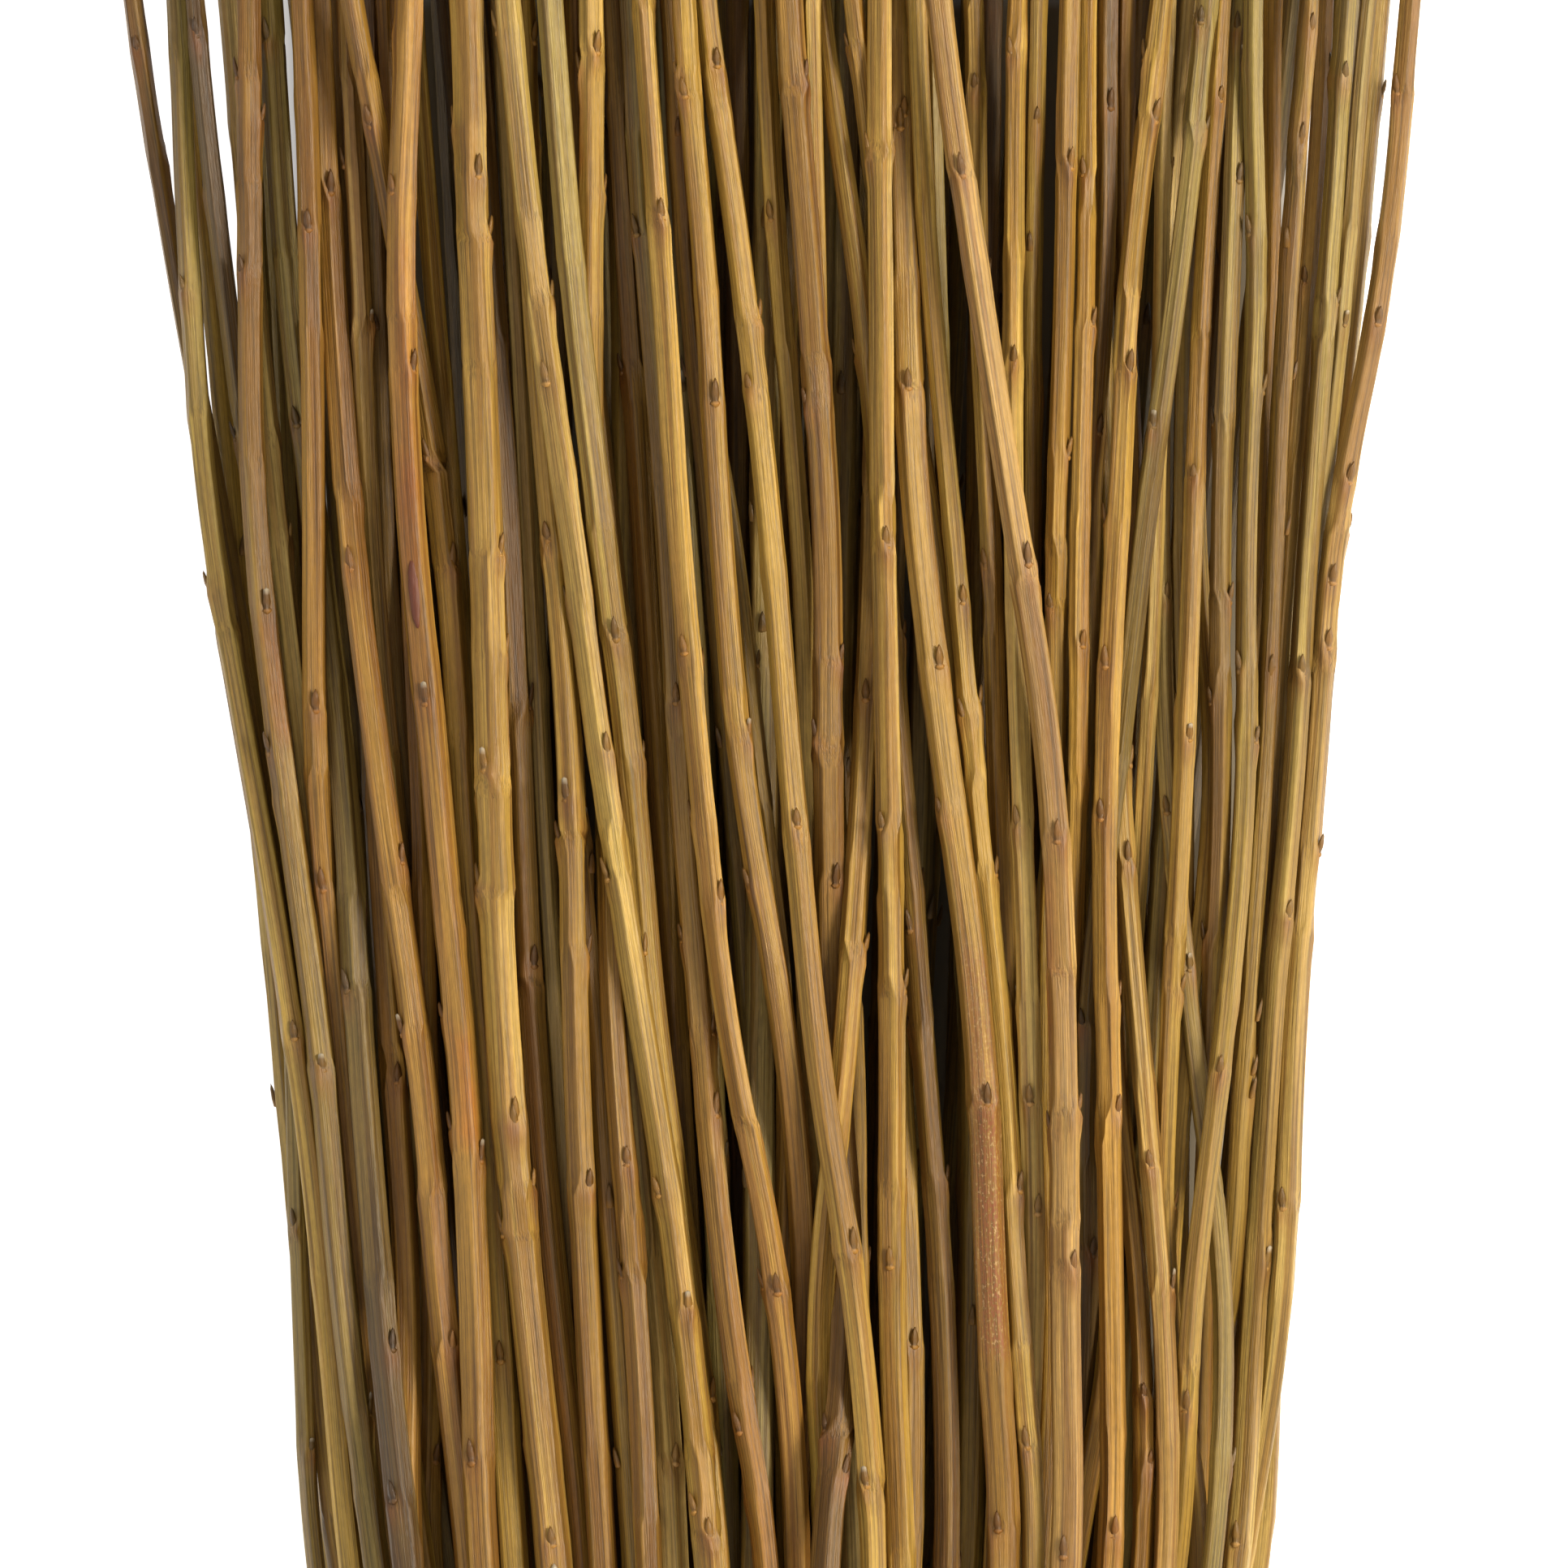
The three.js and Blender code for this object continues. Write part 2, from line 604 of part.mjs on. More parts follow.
// Twine laid through points, round about its own line.
function twineAlong(points) {
  const rings = points.length;
  const positions = [];
  for (let index = 0; index < rings; index += 1) {
    const ahead = points[Math.min(rings - 1, index + 1)].clone().sub(points[Math.max(0, index - 1)]).normalize();
    const out = points[index].clone().setY(0);
    out.z -= neckHeight;
    out.normalize();
    const side = new THREE.Vector3().crossVectors(ahead, out).normalize();
    out.crossVectors(side, ahead).normalize();
    for (let corner = 0; corner < twineSides; corner += 1) {
      const angle = (2 * Math.PI * corner) / twineSides;
      const point = points[index]
        .clone()
        .addScaledVector(side, twineRadius * Math.cos(angle))
        .addScaledVector(out, twineRadius * Math.sin(angle));
      positions.push(point.x, point.y, point.z);
    }
  }
  const faces = [];
  for (let ring = 0; ring < rings - 1; ring += 1) {
    for (let corner = 0; corner < twineSides; corner += 1) {
      const a = ring * twineSides + corner;
      const b = ring * twineSides + ((corner + 1) % twineSides);
      faces.push(a, a + twineSides, b, b, a + twineSides, b + twineSides);
    }
  }
  const end = (rings - 1) * twineSides;
  for (let corner = 1; corner < twineSides - 1; corner += 1) {
    faces.push(0, corner, corner + 1);
    faces.push(end, end + corner + 1, end + corner);
  }
  return solid(positions, faces);
}

function onCoil(turn, lift, y) {
  const angle = Math.PI / 2 - 2 * Math.PI * turn;
  const radius = coilRadius + lift;
  return new THREE.Vector3(radius * Math.cos(angle), y, neckHeight + radius * Math.sin(angle));
}

// The coil starts and ends on top of the bunch. It is half a step off and moved along a little, so
// that one turn's lowest flat has its middle at the origin.
function coilPoints() {
  const points = [];
  const steps = twineTurns * segmentsPerTurn;
  for (let step = 0; step <= steps; step += 1) {
    const turn = step / segmentsPerTurn + 0.5 / segmentsPerTurn;
    points.push(onCoil(turn, 0, twinePitch * (turn - 1.5)));
  }
  return points;
}

// An overhand knot on top of the coil, with two short ends.
function knotPoints() {
  const points = [];
  const across = 1.25 * knotLoopRadius;
  const lift = twineRadius * 1.9;
  points.push(onCoil(-0.045, lift * 0.6, -twinePitch * 3.4));
  for (let step = 0; step <= 26; step += 1) {
    const turn = (step / 26) * 2 * Math.PI * 1.5 - Math.PI * 0.75;
    const x = across * (Math.sin(turn) + 0.35 * Math.sin(2 * turn));
    const y = knotLoopRadius * (Math.cos(turn) - 0.25 * Math.cos(2 * turn));
    const z = neckHeight + coilRadius + lift + 1.35 * Math.sin(1.5 * turn);
    points.push(new THREE.Vector3(x, y, z));
  }
  points.push(onCoil(0.05, lift * 0.6, twinePitch * 3.6));
  return points;
}

const willowColours = ["#a8874f", "#b08a4a", "#9a7b45", "#8c7748", "#a0803f", "#b8955a"];
const bunch = new THREE.Group();

sheaves.forEach((sheaf, index) => {
  const body = sheaf.map((stem) => stemMesh(stems[stem])).reduce((whole, rod) => whole.add(rod));
  const material = new THREE.MeshStandardMaterial({
    color: willowColours[index % willowColours.length],
    roughness: 0.62,
    metalness: 0,
  });
  const mesh = new THREE.Mesh(geometryFromSolid(body), material);
  mesh.name = `stems_${String(index + 1).padStart(2, "0")}`;
  bunch.add(mesh);
});

const tieBody = twineAlong(coilPoints()).add(twineAlong(knotPoints()));
const tie = new THREE.Mesh(
  geometryFromSolid(tieBody),
  new THREE.MeshStandardMaterial({ color: "#b79a6c", roughness: 0.9, metalness: 0 }),
);
tie.name = "tie";
bunch.add(tie);

export default bunch;
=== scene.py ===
import math
import random

import bmesh
import bpy
from mathutils import Matrix, Vector, noise


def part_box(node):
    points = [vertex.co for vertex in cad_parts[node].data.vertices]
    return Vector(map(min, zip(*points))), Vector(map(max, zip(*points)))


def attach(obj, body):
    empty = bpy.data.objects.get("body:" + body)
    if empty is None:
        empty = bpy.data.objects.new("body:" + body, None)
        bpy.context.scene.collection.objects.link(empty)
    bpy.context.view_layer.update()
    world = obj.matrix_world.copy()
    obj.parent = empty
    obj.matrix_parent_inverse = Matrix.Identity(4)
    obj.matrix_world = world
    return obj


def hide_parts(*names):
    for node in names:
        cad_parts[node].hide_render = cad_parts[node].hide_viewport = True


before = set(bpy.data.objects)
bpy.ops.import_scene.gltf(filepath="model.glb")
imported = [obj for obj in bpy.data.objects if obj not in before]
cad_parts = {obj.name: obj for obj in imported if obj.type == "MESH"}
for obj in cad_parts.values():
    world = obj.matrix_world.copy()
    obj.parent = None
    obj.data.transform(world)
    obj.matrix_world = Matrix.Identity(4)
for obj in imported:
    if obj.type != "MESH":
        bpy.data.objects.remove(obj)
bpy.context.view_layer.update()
mm = 0.001

# The photo shows the bunch from above, tips up. These turn its columns and rows into millimetres.
photo = {
    "columnsPerMm": 6,
    "middleColumn": 952,
    "size": 1932,
    "topY": 672,
}


def photoX(column):
    return (column - photo["middleColumn"]) / photo["columnsPerMm"] * mm


def photoY(row):
    return (photo["topY"] - row / photo["columnsPerMm"]) * mm


# Camera and light

camera = {
    "frameWidth": 322 * mm,   # what the photo's frame covers at the front stems
    "frontHeight": 68 * mm,
    "distance": 5.0,
    "sensor": 36,
}


def addCamera():
    data = bpy.data.cameras.new("camera")
    data.sensor_width = camera["sensor"]
    data.lens = camera["sensor"] * camera["distance"] / camera["frameWidth"]
    data.clip_end = 200
    eye = bpy.data.objects.new("camera", data)
    middle = photo["size"] / 2
    eye.location = (photoX(middle), photoY(middle), camera["frontHeight"] + camera["distance"])
    bpy.context.collection.objects.link(eye)
    bpy.context.scene.camera = eye


lights = [
    # name, where it stands, size, watts, colour
    ("keyLight", (1.5, 0.95, 1.45), 0.7, 48, "#fff3df"),
    ("fillLight", (-2.0, 0.2, 2.2), 2.0, 12, "#eef3ff"),
    ("buttLight", (0.3, -1.8, 1.9), 1.6, 12, "#fff8ee"),
]
worldStrength = 0.475


def linearColour(hexText):
    channels = [int(hexText[place:place + 2], 16) / 255 for place in (1, 3, 5)]
    return [c / 12.92 if c <= 0.04045 else ((c + 0.055) / 1.055) ** 2.4 for c in channels] + [1.0]


def toneOf(hexText):
    return Vector(linearColour(hexText)[:3])


def addLights():
    target = Vector((0, 0.5, 0.03))
    for name, place, size, watts, colour in lights:
        data = bpy.data.lights.new(name, "AREA")
        data.size = size
        data.energy = watts
        data.color = toneOf(colour)
        lamp = bpy.data.objects.new(name, data)
        lamp.location = place
        lamp.rotation_euler = (target - Vector(place)).to_track_quat("-Z", "Y").to_euler()
        bpy.context.collection.objects.link(lamp)
    world = bpy.data.worlds.new("studio")
    world.use_nodes = True
    backdrop = world.node_tree.nodes["Background"]
    backdrop.inputs["Color"].default_value = linearColour("#fbf1df")
    backdrop.inputs["Strength"].default_value = worldStrength
    bpy.context.scene.world = world
    bpy.context.scene.view_settings.view_transform = "Standard"
    bpy.context.scene.view_settings.look = "None"


# A node with its settings and links. A setting that isn't one of the node's own goes to the socket of that
# name or number.
def addNode(tree, kind, settings=None, links=None):
    node = tree.nodes.new(kind)
    for name, value in (settings or {}).items():
        if isinstance(name, str) and hasattr(node, name):
            setattr(node, name, value)
        else:
            node.inputs[name].default_value = value
    for name, source in (links or {}).items():
        tree.links.new(source, node.inputs[name])
    return node


# The stems' lines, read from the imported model

rod = {
    "sides": 5,
    "ringHeight": 0.02 * mm,     # corners of one ring differ by less than this
    "fusedReach": 29.8 * mm,     # the rods are fused this far to either side of the twine
    "roundedReach": 27 * mm,     # how far a bend is rounded off to either side of its knot
}


def islandsOf(shape):
    islands = []
    for start in shape.verts:
        if start.tag:
            continue
        start.tag = True
        queue = [start]
        island = []
        while queue:
            vert = queue.pop()
            island.append(vert.co.copy())
            for link in vert.link_edges:
                other = link.other_vert(vert)
                if not other.tag:
                    other.tag = True
                    queue.append(other)
        islands.append(island)
    return islands


# Every ring of corners gives a point of the rod's line and its radius there.
def ringsOf(corners):
    corners = sorted(corners, key=lambda corner: corner.y)
    levels = [[corners[0]]]
    for corner in corners[1:]:
        if corner.y - levels[-1][-1].y < rod["ringHeight"]:
            levels[-1].append(corner)
        else:
            levels.append([corner])
    rings = []
    for level in levels:
        if len(level) >= rod["sides"]:
            middle = sum(level, Vector()) / len(level)
            radius = sum((corner - middle).length for corner in level) / len(level)
            rings.append((middle.y, middle.x, middle.z, radius))
    return rings


# The rods of a node are fused under the twine, so they are read apart on either side of it.
def readStems(nodeName):
    halves = []
    for side in (1, -1):
        shape = bmesh.new()
        shape.from_mesh(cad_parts[nodeName].data)
        bmesh.ops.remove_doubles(shape, verts=shape.verts, dist=0.01 * mm)
        everything = [*shape.verts, *shape.edges, *shape.faces]
        cut = (0, side * rod["fusedReach"], 0)
        bmesh.ops.bisect_plane(shape, geom=everything, plane_co=cut, plane_no=(0, side, 0),
                               clear_inner=True)
        lines = [ringsOf(island) for island in islandsOf(shape)]
        nearest = rod["fusedReach"] + 0.1 * mm
        halves.append([[ring for ring in line if abs(ring[0]) > nearest] for line in lines])
        shape.free()
    upper, lower = halves
    found = []
    for line in upper:
        other = min(lower, key=lambda half: math.dist(half[-1][1:3], line[0][1:3]))
        lower.remove(other)
        found.append({"knots": other + line, "node": nodeName})
    return found


# The stem's middle and radius at y: straight between its knots, and rounded off near each.
def lineAt(stem, y):
    knots = stem["knots"]
    upper = 1
    while upper < len(knots) - 1 and knots[upper][0] < y:
        upper += 1
    (y0, x0, z0, r0), (y1, x1, z1, r1) = knots[upper - 1], knots[upper]
    share = (y - y0) / (y1 - y0)
    x = x0 + (x1 - x0) * share
    z = z0 + (z1 - z0) * share
    for place in (upper - 1, upper):
        if 0 < place < len(knots) - 1:
            before, here, after = knots[place - 1:place + 2]
            reach = min(rod["roundedReach"], (here[0] - before[0]) / 2, (after[0] - here[0]) / 2)
            off = reach - abs(y - here[0])
            if off > 0:
                for axis in (1, 2):
                    bend = (after[axis] - here[axis]) / (after[0] - here[0])
                    bend -= (here[axis] - before[axis]) / (here[0] - before[0])
                    if axis == 1:
                        x += bend * off * off / (4 * reach)
                    else:
                        z += bend * off * off / (4 * reach)
    return x, z, r0 + (r1 - r0) * share


# Tones of dried willow bark
barkTones = {
    "olive": "#8e793c",
    "brown": "#966f2a",
    "darkBrown": "#7a5a24",
    # darker still: a brown with painted shade in it, for stems that lie deep in the bunch
    "shadedUmber": "#5f471f",
    "tan": "#aa883a",
    "golden": "#b28d3a",
    "yellow": "#bb9746",
    "straw": "#bfa258",
    "paleStraw": "#c7ab66",
    "orange": "#ae8238",
    "pink": "#a88344",
    "grey": "#97834a",
}

# The stems in the photo: column at its top edge, column at its bottom edge, tone there and there.
seenTones = [
    (157, 440, "darkBrown", "olive"), (218, 430, "olive", "yellow"), (236, 470, "shadedUmber", "olive"),
    (280, 478, "brown", "olive"), (305, 462, "olive", "shadedUmber"), (329, 512, "paleStraw", "tan"),
    (369, 490, "brown", "orange"), (393, 583, "brown", "orange"), (430, 545, "pink", "olive"),
    (452, 556, "brown", "brown"), (433, 624, "brown", "tan"), (506, 597, "orange", "brown"),
    (471, 530, "olive", "brown"), (536, 650, "tan", "brown"), (415, 520, "brown", "orange"),
    (300, 380, "olive", "olive"), (325, 403, "grey", "tan"), (405, 548, "darkBrown", "darkBrown"),
    (576, 689, "yellow", "yellow"), (596, 716, "shadedUmber", "brown"), (624, 876, "straw", "golden"),
    (645, 744, "tan", "brown"), (622, 718, "paleStraw", "darkBrown"), (677, 885, "olive", "golden"),
    (729, 799, "yellow", "brown"), (706, 836, "brown", "paleStraw"), (750, 890, "darkBrown", "brown"),
    (792, 992, "yellow", "orange"), (775, 949, "olive", "orange"), (755, 1005, "olive", "brown"),
    (827, 980, "golden", "brown"), (840, 1018, "golden", "yellow"), (866, 1081, "golden", "paleStraw"),
    (941, 1045, "brown", "darkBrown"), (972, 1012, "tan", "tan"), (1001, 1050, "tan", "brown"),
    (1003, 1188, "tan", "darkBrown"), (1090, 1022, "pink", "golden"), (1082, 1103, "yellow", "golden"),
    (1095, 1146, "brown", "tan"), (1106, 1243, "yellow", "brown"), (1052, 1262, "golden", "tan"),
    (1126, 1281, "yellow", "tan"), (1150, 1215, "grey", "grey"), (1154, 1314, "pink", "pink"),
    (1201, 1275, "tan", "brown"), (1253, 1280, "golden", "paleStraw"), (1278, 1296, "golden", "golden"),
    (1318, 1292, "golden", "orange"), (1339, 1318, "darkBrown", "golden"),
    (1489, 1326, "olive", "shadedUmber"), (1368, 1350, "darkBrown", "brown"),
    (1388, 1415, "brown", "brown"), (1409, 1395, "tan", "orange"), (1433, 1375, "paleStraw", "tan"),
    (1440, 1396, "straw", "olive"), (1345, 1444, "straw", "pink"), (1466, 1510, "paleStraw", "olive"),
    (1485, 1462, "grey", "brown"), (1512, 1430, "golden", "yellow"), (1500, 1452, "yellow", "tan"),
    (1523, 1472, "olive", "brown"), (1543, 1456, "olive", "tan"), (1570, 1512, "golden", "pink"),
    (1618, 1502, "pink", "olive"), (1636, 1520, "olive", "straw"), (1662, 1520, "grey", "paleStraw"),
    (1688, 1524, "paleStraw", "straw"), (1707, 1528, "pink", "straw"), (1742, 1524, "olive", "olive"),
]

# Buds in the photo as column and row. The last list has buds that keep a tuft of white down.
seenBuds = [
    (164, 55), (239, 40), (220, 355), (294, 335), (378, 280), (454, 150), (481, 235), (509, 455),
    (590, 215), (406, 234), (418, 200), (325, 45), (325, 148), (286, 90), (611, 36), (608, 290),
    (281, 535), (362, 520), (250, 722), (358, 665), (431, 700), (525, 565), (559, 697), (387, 873),
    (618, 683), (328, 925), (361, 1280), (395, 1095), (424, 1220), (496, 1064), (489, 1335), (545, 1256),
    (553, 1395), (585, 1096), (634, 1389), (359, 1513), (484, 1666), (483, 1850), (559, 1668),
    (580, 1803), (536, 1803), (616, 1679), (616, 1513), (658, 49), (736, 62), (711, 88), (815, 270),
    (783, 286), (835, 95), (843, 117), (885, 81), (949, 268), (994, 98), (672, 470), (763, 455),
    (882, 495), (939, 394), (923, 481), (993, 500), (682, 370), (673, 665), (656, 870), (758, 785),
    (749, 930), (842, 803), (833, 865), (939, 776), (939, 820), (1036, 815), (1004, 910), (688, 1035),
    (729, 1075), (747, 1080), (586, 1090), (727, 1178), (799, 1175), (658, 1190), (840, 1158),
    (879, 1275), (889, 1113), (923, 1093), (983, 1018), (1031, 1087), (1066, 1175), (884, 1375),
    (636, 1380), (773, 1435), (662, 1468), (727, 1465), (809, 1470), (880, 1725), (875, 1897),
    (760, 1572), (618, 1520), (680, 1905), (910, 1762), (940, 1585), (958, 1592), (1015, 1765),
    (833, 1805), (854, 1861), (1053, 1540), (1041, 1819), (1045, 58), (1070, 190), (1110, 156),
    (1115, 140), (1133, 345), (1185, 215), (1201, 108), (1245, 68), (1250, 448), (1278, 148),
    (1321, 205), (1335, 215), (1370, 130), (1408, 72), (1424, 146), (1393, 457), (1488, 162),
    (1480, 25), (1119, 478), (1447, 205), (1348, 400), (1092, 673), (1188, 742), (1159, 820),
    (1186, 885), (1213, 698), (1211, 870), (1268, 695), (1294, 750), (1335, 795), (1317, 561),
    (1356, 530), (1358, 645), (1361, 821), (1471, 590), (1439, 737), (1066, 863), (1117, 785),
    (1397, 942), (1086, 1020), (1115, 1220), (1159, 1002), (1229, 1078), (1253, 1018), (1270, 1358),
    (1304, 1035), (1356, 1008), (1379, 1372), (1392, 1063), (1120, 1145), (1159, 1140), (1333, 1265),
    (1330, 1370), (1484, 1162), (1457, 1223), (1439, 1000), (1294, 1395), (1218, 1360), (1096, 1560),
    (1127, 1660), (1167, 1458), (1229, 1885), (1265, 1783), (1258, 1468), (1280, 1494), (1323, 1567),
    (1310, 1917), (1349, 1546), (1374, 1895), (1418, 1438), (1452, 1488), (1411, 1725), (1419, 1809),
    (1463, 1738), (1526, 36), (1505, 120), (1529, 220), (1606, 172), (1660, 95), (1724, 110),
    (1611, 345), (1652, 370), (1701, 395), (1540, 285), (1560, 480), (1646, 715), (1666, 590),
    (1591, 655), (1550, 913), (1528, 825), (1606, 830), (1518, 740), (1641, 795), (1493, 865),
    (1630, 1050), (1591, 1130), (1555, 1256), (1547, 1323), (1504, 1325), (1583, 1490), (1524, 1811),
    (1524, 1907),
]
downyBuds = [
    (455, 400), (327, 750), (523, 865), (595, 947), (395, 1320), (493, 1272), (593, 1431), (381, 1792),
    (455, 1747), (924, 909), (697, 985), (850, 1617), (1066, 1829), (1421, 525), (1467, 910),
    (1449, 1590), (1708, 110), (1661, 395), (1469, 1195), (1564, 1563),
]

# Every stem with its line, tone, and whether the photo shows it.
stems = []
for nodeName in sorted(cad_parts):
    if nodeName.startswith("stems"):
        stems += readStems(nodeName)
stems.sort(key=lambda stem: stem["knots"][-1][1])
print("stems read:", len(stems))

topEdge = photoY(0)
bottomEdge = photoY(photo["size"])

# Stems that the photo doesn't show: how often each tone comes, and how much darker they are.
hiddenTones = {"olive": 3, "brown": 4, "darkBrown": 3, "tan": 4, "golden": 3, "grey": 2, "straw": 2}
# Stems that are not seen are painted this much darker: painted shade, as they lie under the others.
hiddenPaintedShade = 0.72
heightWeight = 0.1    # a stem's height counts this much against its distance from the columns


def giveTones():
    dice = random.Random(5)
    for stem in stems:
        names = dice.choices(list(hiddenTones), list(hiddenTones.values()), k=2)
        # painted shade on the stems that lie under the others
        stem["tones"] = [toneOf(barkTones[name]) * hiddenPaintedShade for name in names]
        stem["isSeen"] = False
        stem["highest"] = lineAt(stem, topEdge)
        stem["lowest"] = lineAt(stem, bottomEdge)
    # The stem nearest to both columns is the one. Where two are as near, it is the one on top.
    for topColumn, bottomColumn, topTone, bottomTone in seenTones:
        free = [stem for stem in stems if not stem["isSeen"]]
        found = min(free, key=lambda stem: abs(stem["highest"][0] - photoX(topColumn))
                    + abs(stem["lowest"][0] - photoX(bottomColumn))
                    - heightWeight * (stem["highest"][1] + stem["lowest"][1]))
        found["isSeen"] = True
        found["tones"] = [toneOf(barkTones[name]) for name in (topTone, bottomTone)]


giveTones()


# Stains in the photo, and two patches of rubbed, scarred bark:
# column, first and last row, width, colour (none on scarred bark) and strength
seenMarks = [
    (1214, 1180, 1400, 3.4 * mm, None, 0.5),
    (1224, 1380, 1660, 3.6 * mm, None, 1.0),
    (711, 88, 200, 2.6 * mm, "#b4631c", 0.6),
    (340, 780, 900, 2.6 * mm, "#b4631c", 0.55),
    (575, 1290, 1400, 2.4 * mm, "#b96a22", 0.6),
    (505, 300, 640, 2.4 * mm, "#a8641f", 0.5),
    (500, 560, 700, 2.2 * mm, "#b4631c", 0.5),
    (1287, 1080, 1290, 2.2 * mm, "#b96a22", 0.5),
]


mark = {
    "beside": 0.9 * mm,         # a bud may stand out this far beside its stem
    "inwards": 0.95,            # keeps it off the very edge of its stem
    "usualRadius": 3 * mm,
    "thinsOut": 4 * mm,
    "even": 0.75,               # a stain's mean strength, and how much patches add or take
    "patchy": 0.6,
    "patchLength": 6 * mm,
}


# The stem that lies on top at a place in the photo, and the angle round it where that place is.
def stemOnTop(column, row):
    x, y = photoX(column), photoY(row)
    here = []
    for stem in stems:
        middleX, middleZ, radius = lineAt(stem, y)
        if abs(x - middleX) < radius + mark["beside"]:
            here.append((middleZ + radius, stem, max(-1, min(1, (x - middleX) / radius))))
    if not here:
        return None, 0
    _, stem, offset = max(here, key=lambda found: found[0])
    return stem, math.pi / 2 - math.asin(offset) * mark["inwards"]


def placeMarks():
    for stem in stems:
        stem["marks"] = []
    for column, firstRow, lastRow, width, colour, strength in seenMarks:
        stem, angle = stemOnTop(column, (firstRow + lastRow) / 2)
        if stem:
            stem["marks"].append({
                "low": photoY(lastRow),
                "high": photoY(firstRow),
                "angle": angle,
                "turn": width / mark["usualRadius"],
                "colour": colour and toneOf(colour),
                "strength": strength,
            })


placeMarks()


# The smallest turn that leads to this angle, to one side or the other.
def leastTurn(angle):
    return (angle + math.pi) % (2 * math.pi) - math.pi


# How much of a stain shows at a place: it thins out at its sides and ends, and is patchy.
def stainShare(stain, y, angle):
    turn = leastTurn(angle - stain["angle"])
    ends = min(y - stain["low"], stain["high"] - y) / mark["thinsOut"] + 1
    patches = mark["even"] + mark["patchy"] * noise.noise(Vector((angle * 2, y / mark["patchLength"], 0)))
    return max(0, min(1, ends)) * math.exp(-(turn / stain["turn"]) ** 2) * min(1, patches)


# Nodes along each stem, each with a bud: those of the photo, and drawn ones elsewhere

growth = {
    "first": (8, 26),                # millimetres from the cut to the first bud
    "last": 9 * mm,                  # none closer to the tip
    "spacing": (21 * mm, 33 * mm),   # from one node to the next
    "turn": 2.5,                     # radians from one bud to the next
    "turnVaries": 0.3,
    "downyShare": 0.06,
    "clearOfTwine": 12 * mm,
    "upwards": -0.25,                # buds whose sine is above this can be seen in the photo
    "photoMargin": 3 * mm,
    "shapesBark": (-6 * mm, 20 * mm),   # from this far below a bud to this far above it
    "shoulder": 0.5 * mm,            # the leaf scar's shelf under the bud
    "shoulderAbove": 1.2 * mm,
    "shoulderBelow": 4.5 * mm,
    "shoulderTurn": 0.62,
    "shoulderColour": "#8c5326",
    "shoulderStain": 0.62,
    "swelling": 0.13 * mm,
    "swellingReach": 5 * mm,
}


def placeBuds():
    for stem in stems:
        stem["buds"] = []
    for column, row in seenBuds + downyBuds:
        stem, angle = stemOnTop(column, row)
        if stem:
            stem["buds"].append({"y": photoY(row), "angle": angle, "isDowny": (column, row) in downyBuds})
    dice = random.Random(11)
    low, high = bottomEdge - growth["photoMargin"], topEdge + growth["photoMargin"]
    for stem in stems:
        y = stem["knots"][0][0] + dice.uniform(*growth["first"]) * mm
        angle = dice.uniform(0, 2 * math.pi)
        while y < stem["knots"][-1][0] - growth["last"]:
            isInPhoto = low < y < high and math.sin(angle) > growth["upwards"]
            isUnderTwine = abs(y) < growth["clearOfTwine"]
            if not isUnderTwine and not (isInPhoto and stem["isSeen"]):
                isDowny = dice.random() < growth["downyShare"]
                stem["buds"].append({"y": y, "angle": angle % (2 * math.pi), "isDowny": isDowny})
            y += dice.uniform(*growth["spacing"])
            angle += growth["turn"] + dice.uniform(-growth["turnVaries"], growth["turnVaries"])
        stem["buds"].sort(key=lambda bud: bud["y"])


placeBuds()
print("buds placed:", sum(len(stem["buds"]) for stem in stems))


# Stem meshes

bark = {
    "sides": {"seen": 20, "hidden": 10},
    "step": {"seen": 2.6 * mm, "seenAway": 16 * mm, "hidden": 11 * mm},   # seenAway is outside the photo
    "photoMargin": 15 * mm,
    "facets": 5,
    "cornerShare": 0.92,        # how much of a facet lies before its rounded corner
    "flatShare": 0.7,           # how much of it is quite flat
    "fullness": 1.12,           # brings the facets out to about the stem's radius
    "facetShare": (0.6, 1.0),   # how far the round section is flattened to facets
    "uneven": 0.24,             # how much the facets differ in width
    "turnBelow": 2 * mm,        # the facets start to turn this far below a bud
    "turnLength": 5 * mm,
    "toneOfFacet": (0.25, 0.30, 0.34),
    "wander": 0.22 * mm,
    "wanderLength": 45 * mm,
    "channel": 0.14 * mm,
    "channelTurn": 0.5,
    "channelStart": 1 * mm,
    "channelLength": 16 * mm,
    "channelPaler": 0.22,
    "seam": 0.004 * mm,         # where the grid closes round the stem
    "rim": 0.2 * mm,            # the edges of a rim lie this close to the end
    "buttSteps": [(1, 0, None), (0.97, -0.1 * mm, "#c9ad7c"), (0.9, 0, "#d0b688"), (0.3, 0, "#c4a777"),
                  (0.9, 0, "#8a6a42")],
    "tipSteps": [(0.86, 0.9 * mm, None), (0.55, 0.9 * mm, "#5e4322"), (0.4, 0.5 * mm, "#4f3319")],
}


# The facets' turn in each length between two buds. A flat side always faces the bud at its foot.
def facetTurns(stem):
    fifth = 2 * math.pi / bark["facets"]
    turns = [stem["seed"]]
    for bud in stem["buds"]:
        turns.append(turns[-1] + (bud["angle"] - turns[-1] + fifth / 2) % fifth - fifth / 2)
    return turns


# Each facet's own bleaching, from dark and brown at -1 to pale at 1, in each length between buds.
def facetTones(stem):
    dice = random.Random(stem["seed"])
    whole = [dice.uniform(-1, 1) for facet in range(bark["facets"])]
    lengths = len(stem["buds"]) + 1
    return [[0.55 * value + 0.45 * dice.uniform(-1, 1) for value in whole] for length in range(lengths)]


def toneAt(stem, y):
    share = (topEdge - y) / (topEdge - bottomEdge)
    return stem["tones"][0].lerp(stem["tones"][1], max(0, min(1, share)))


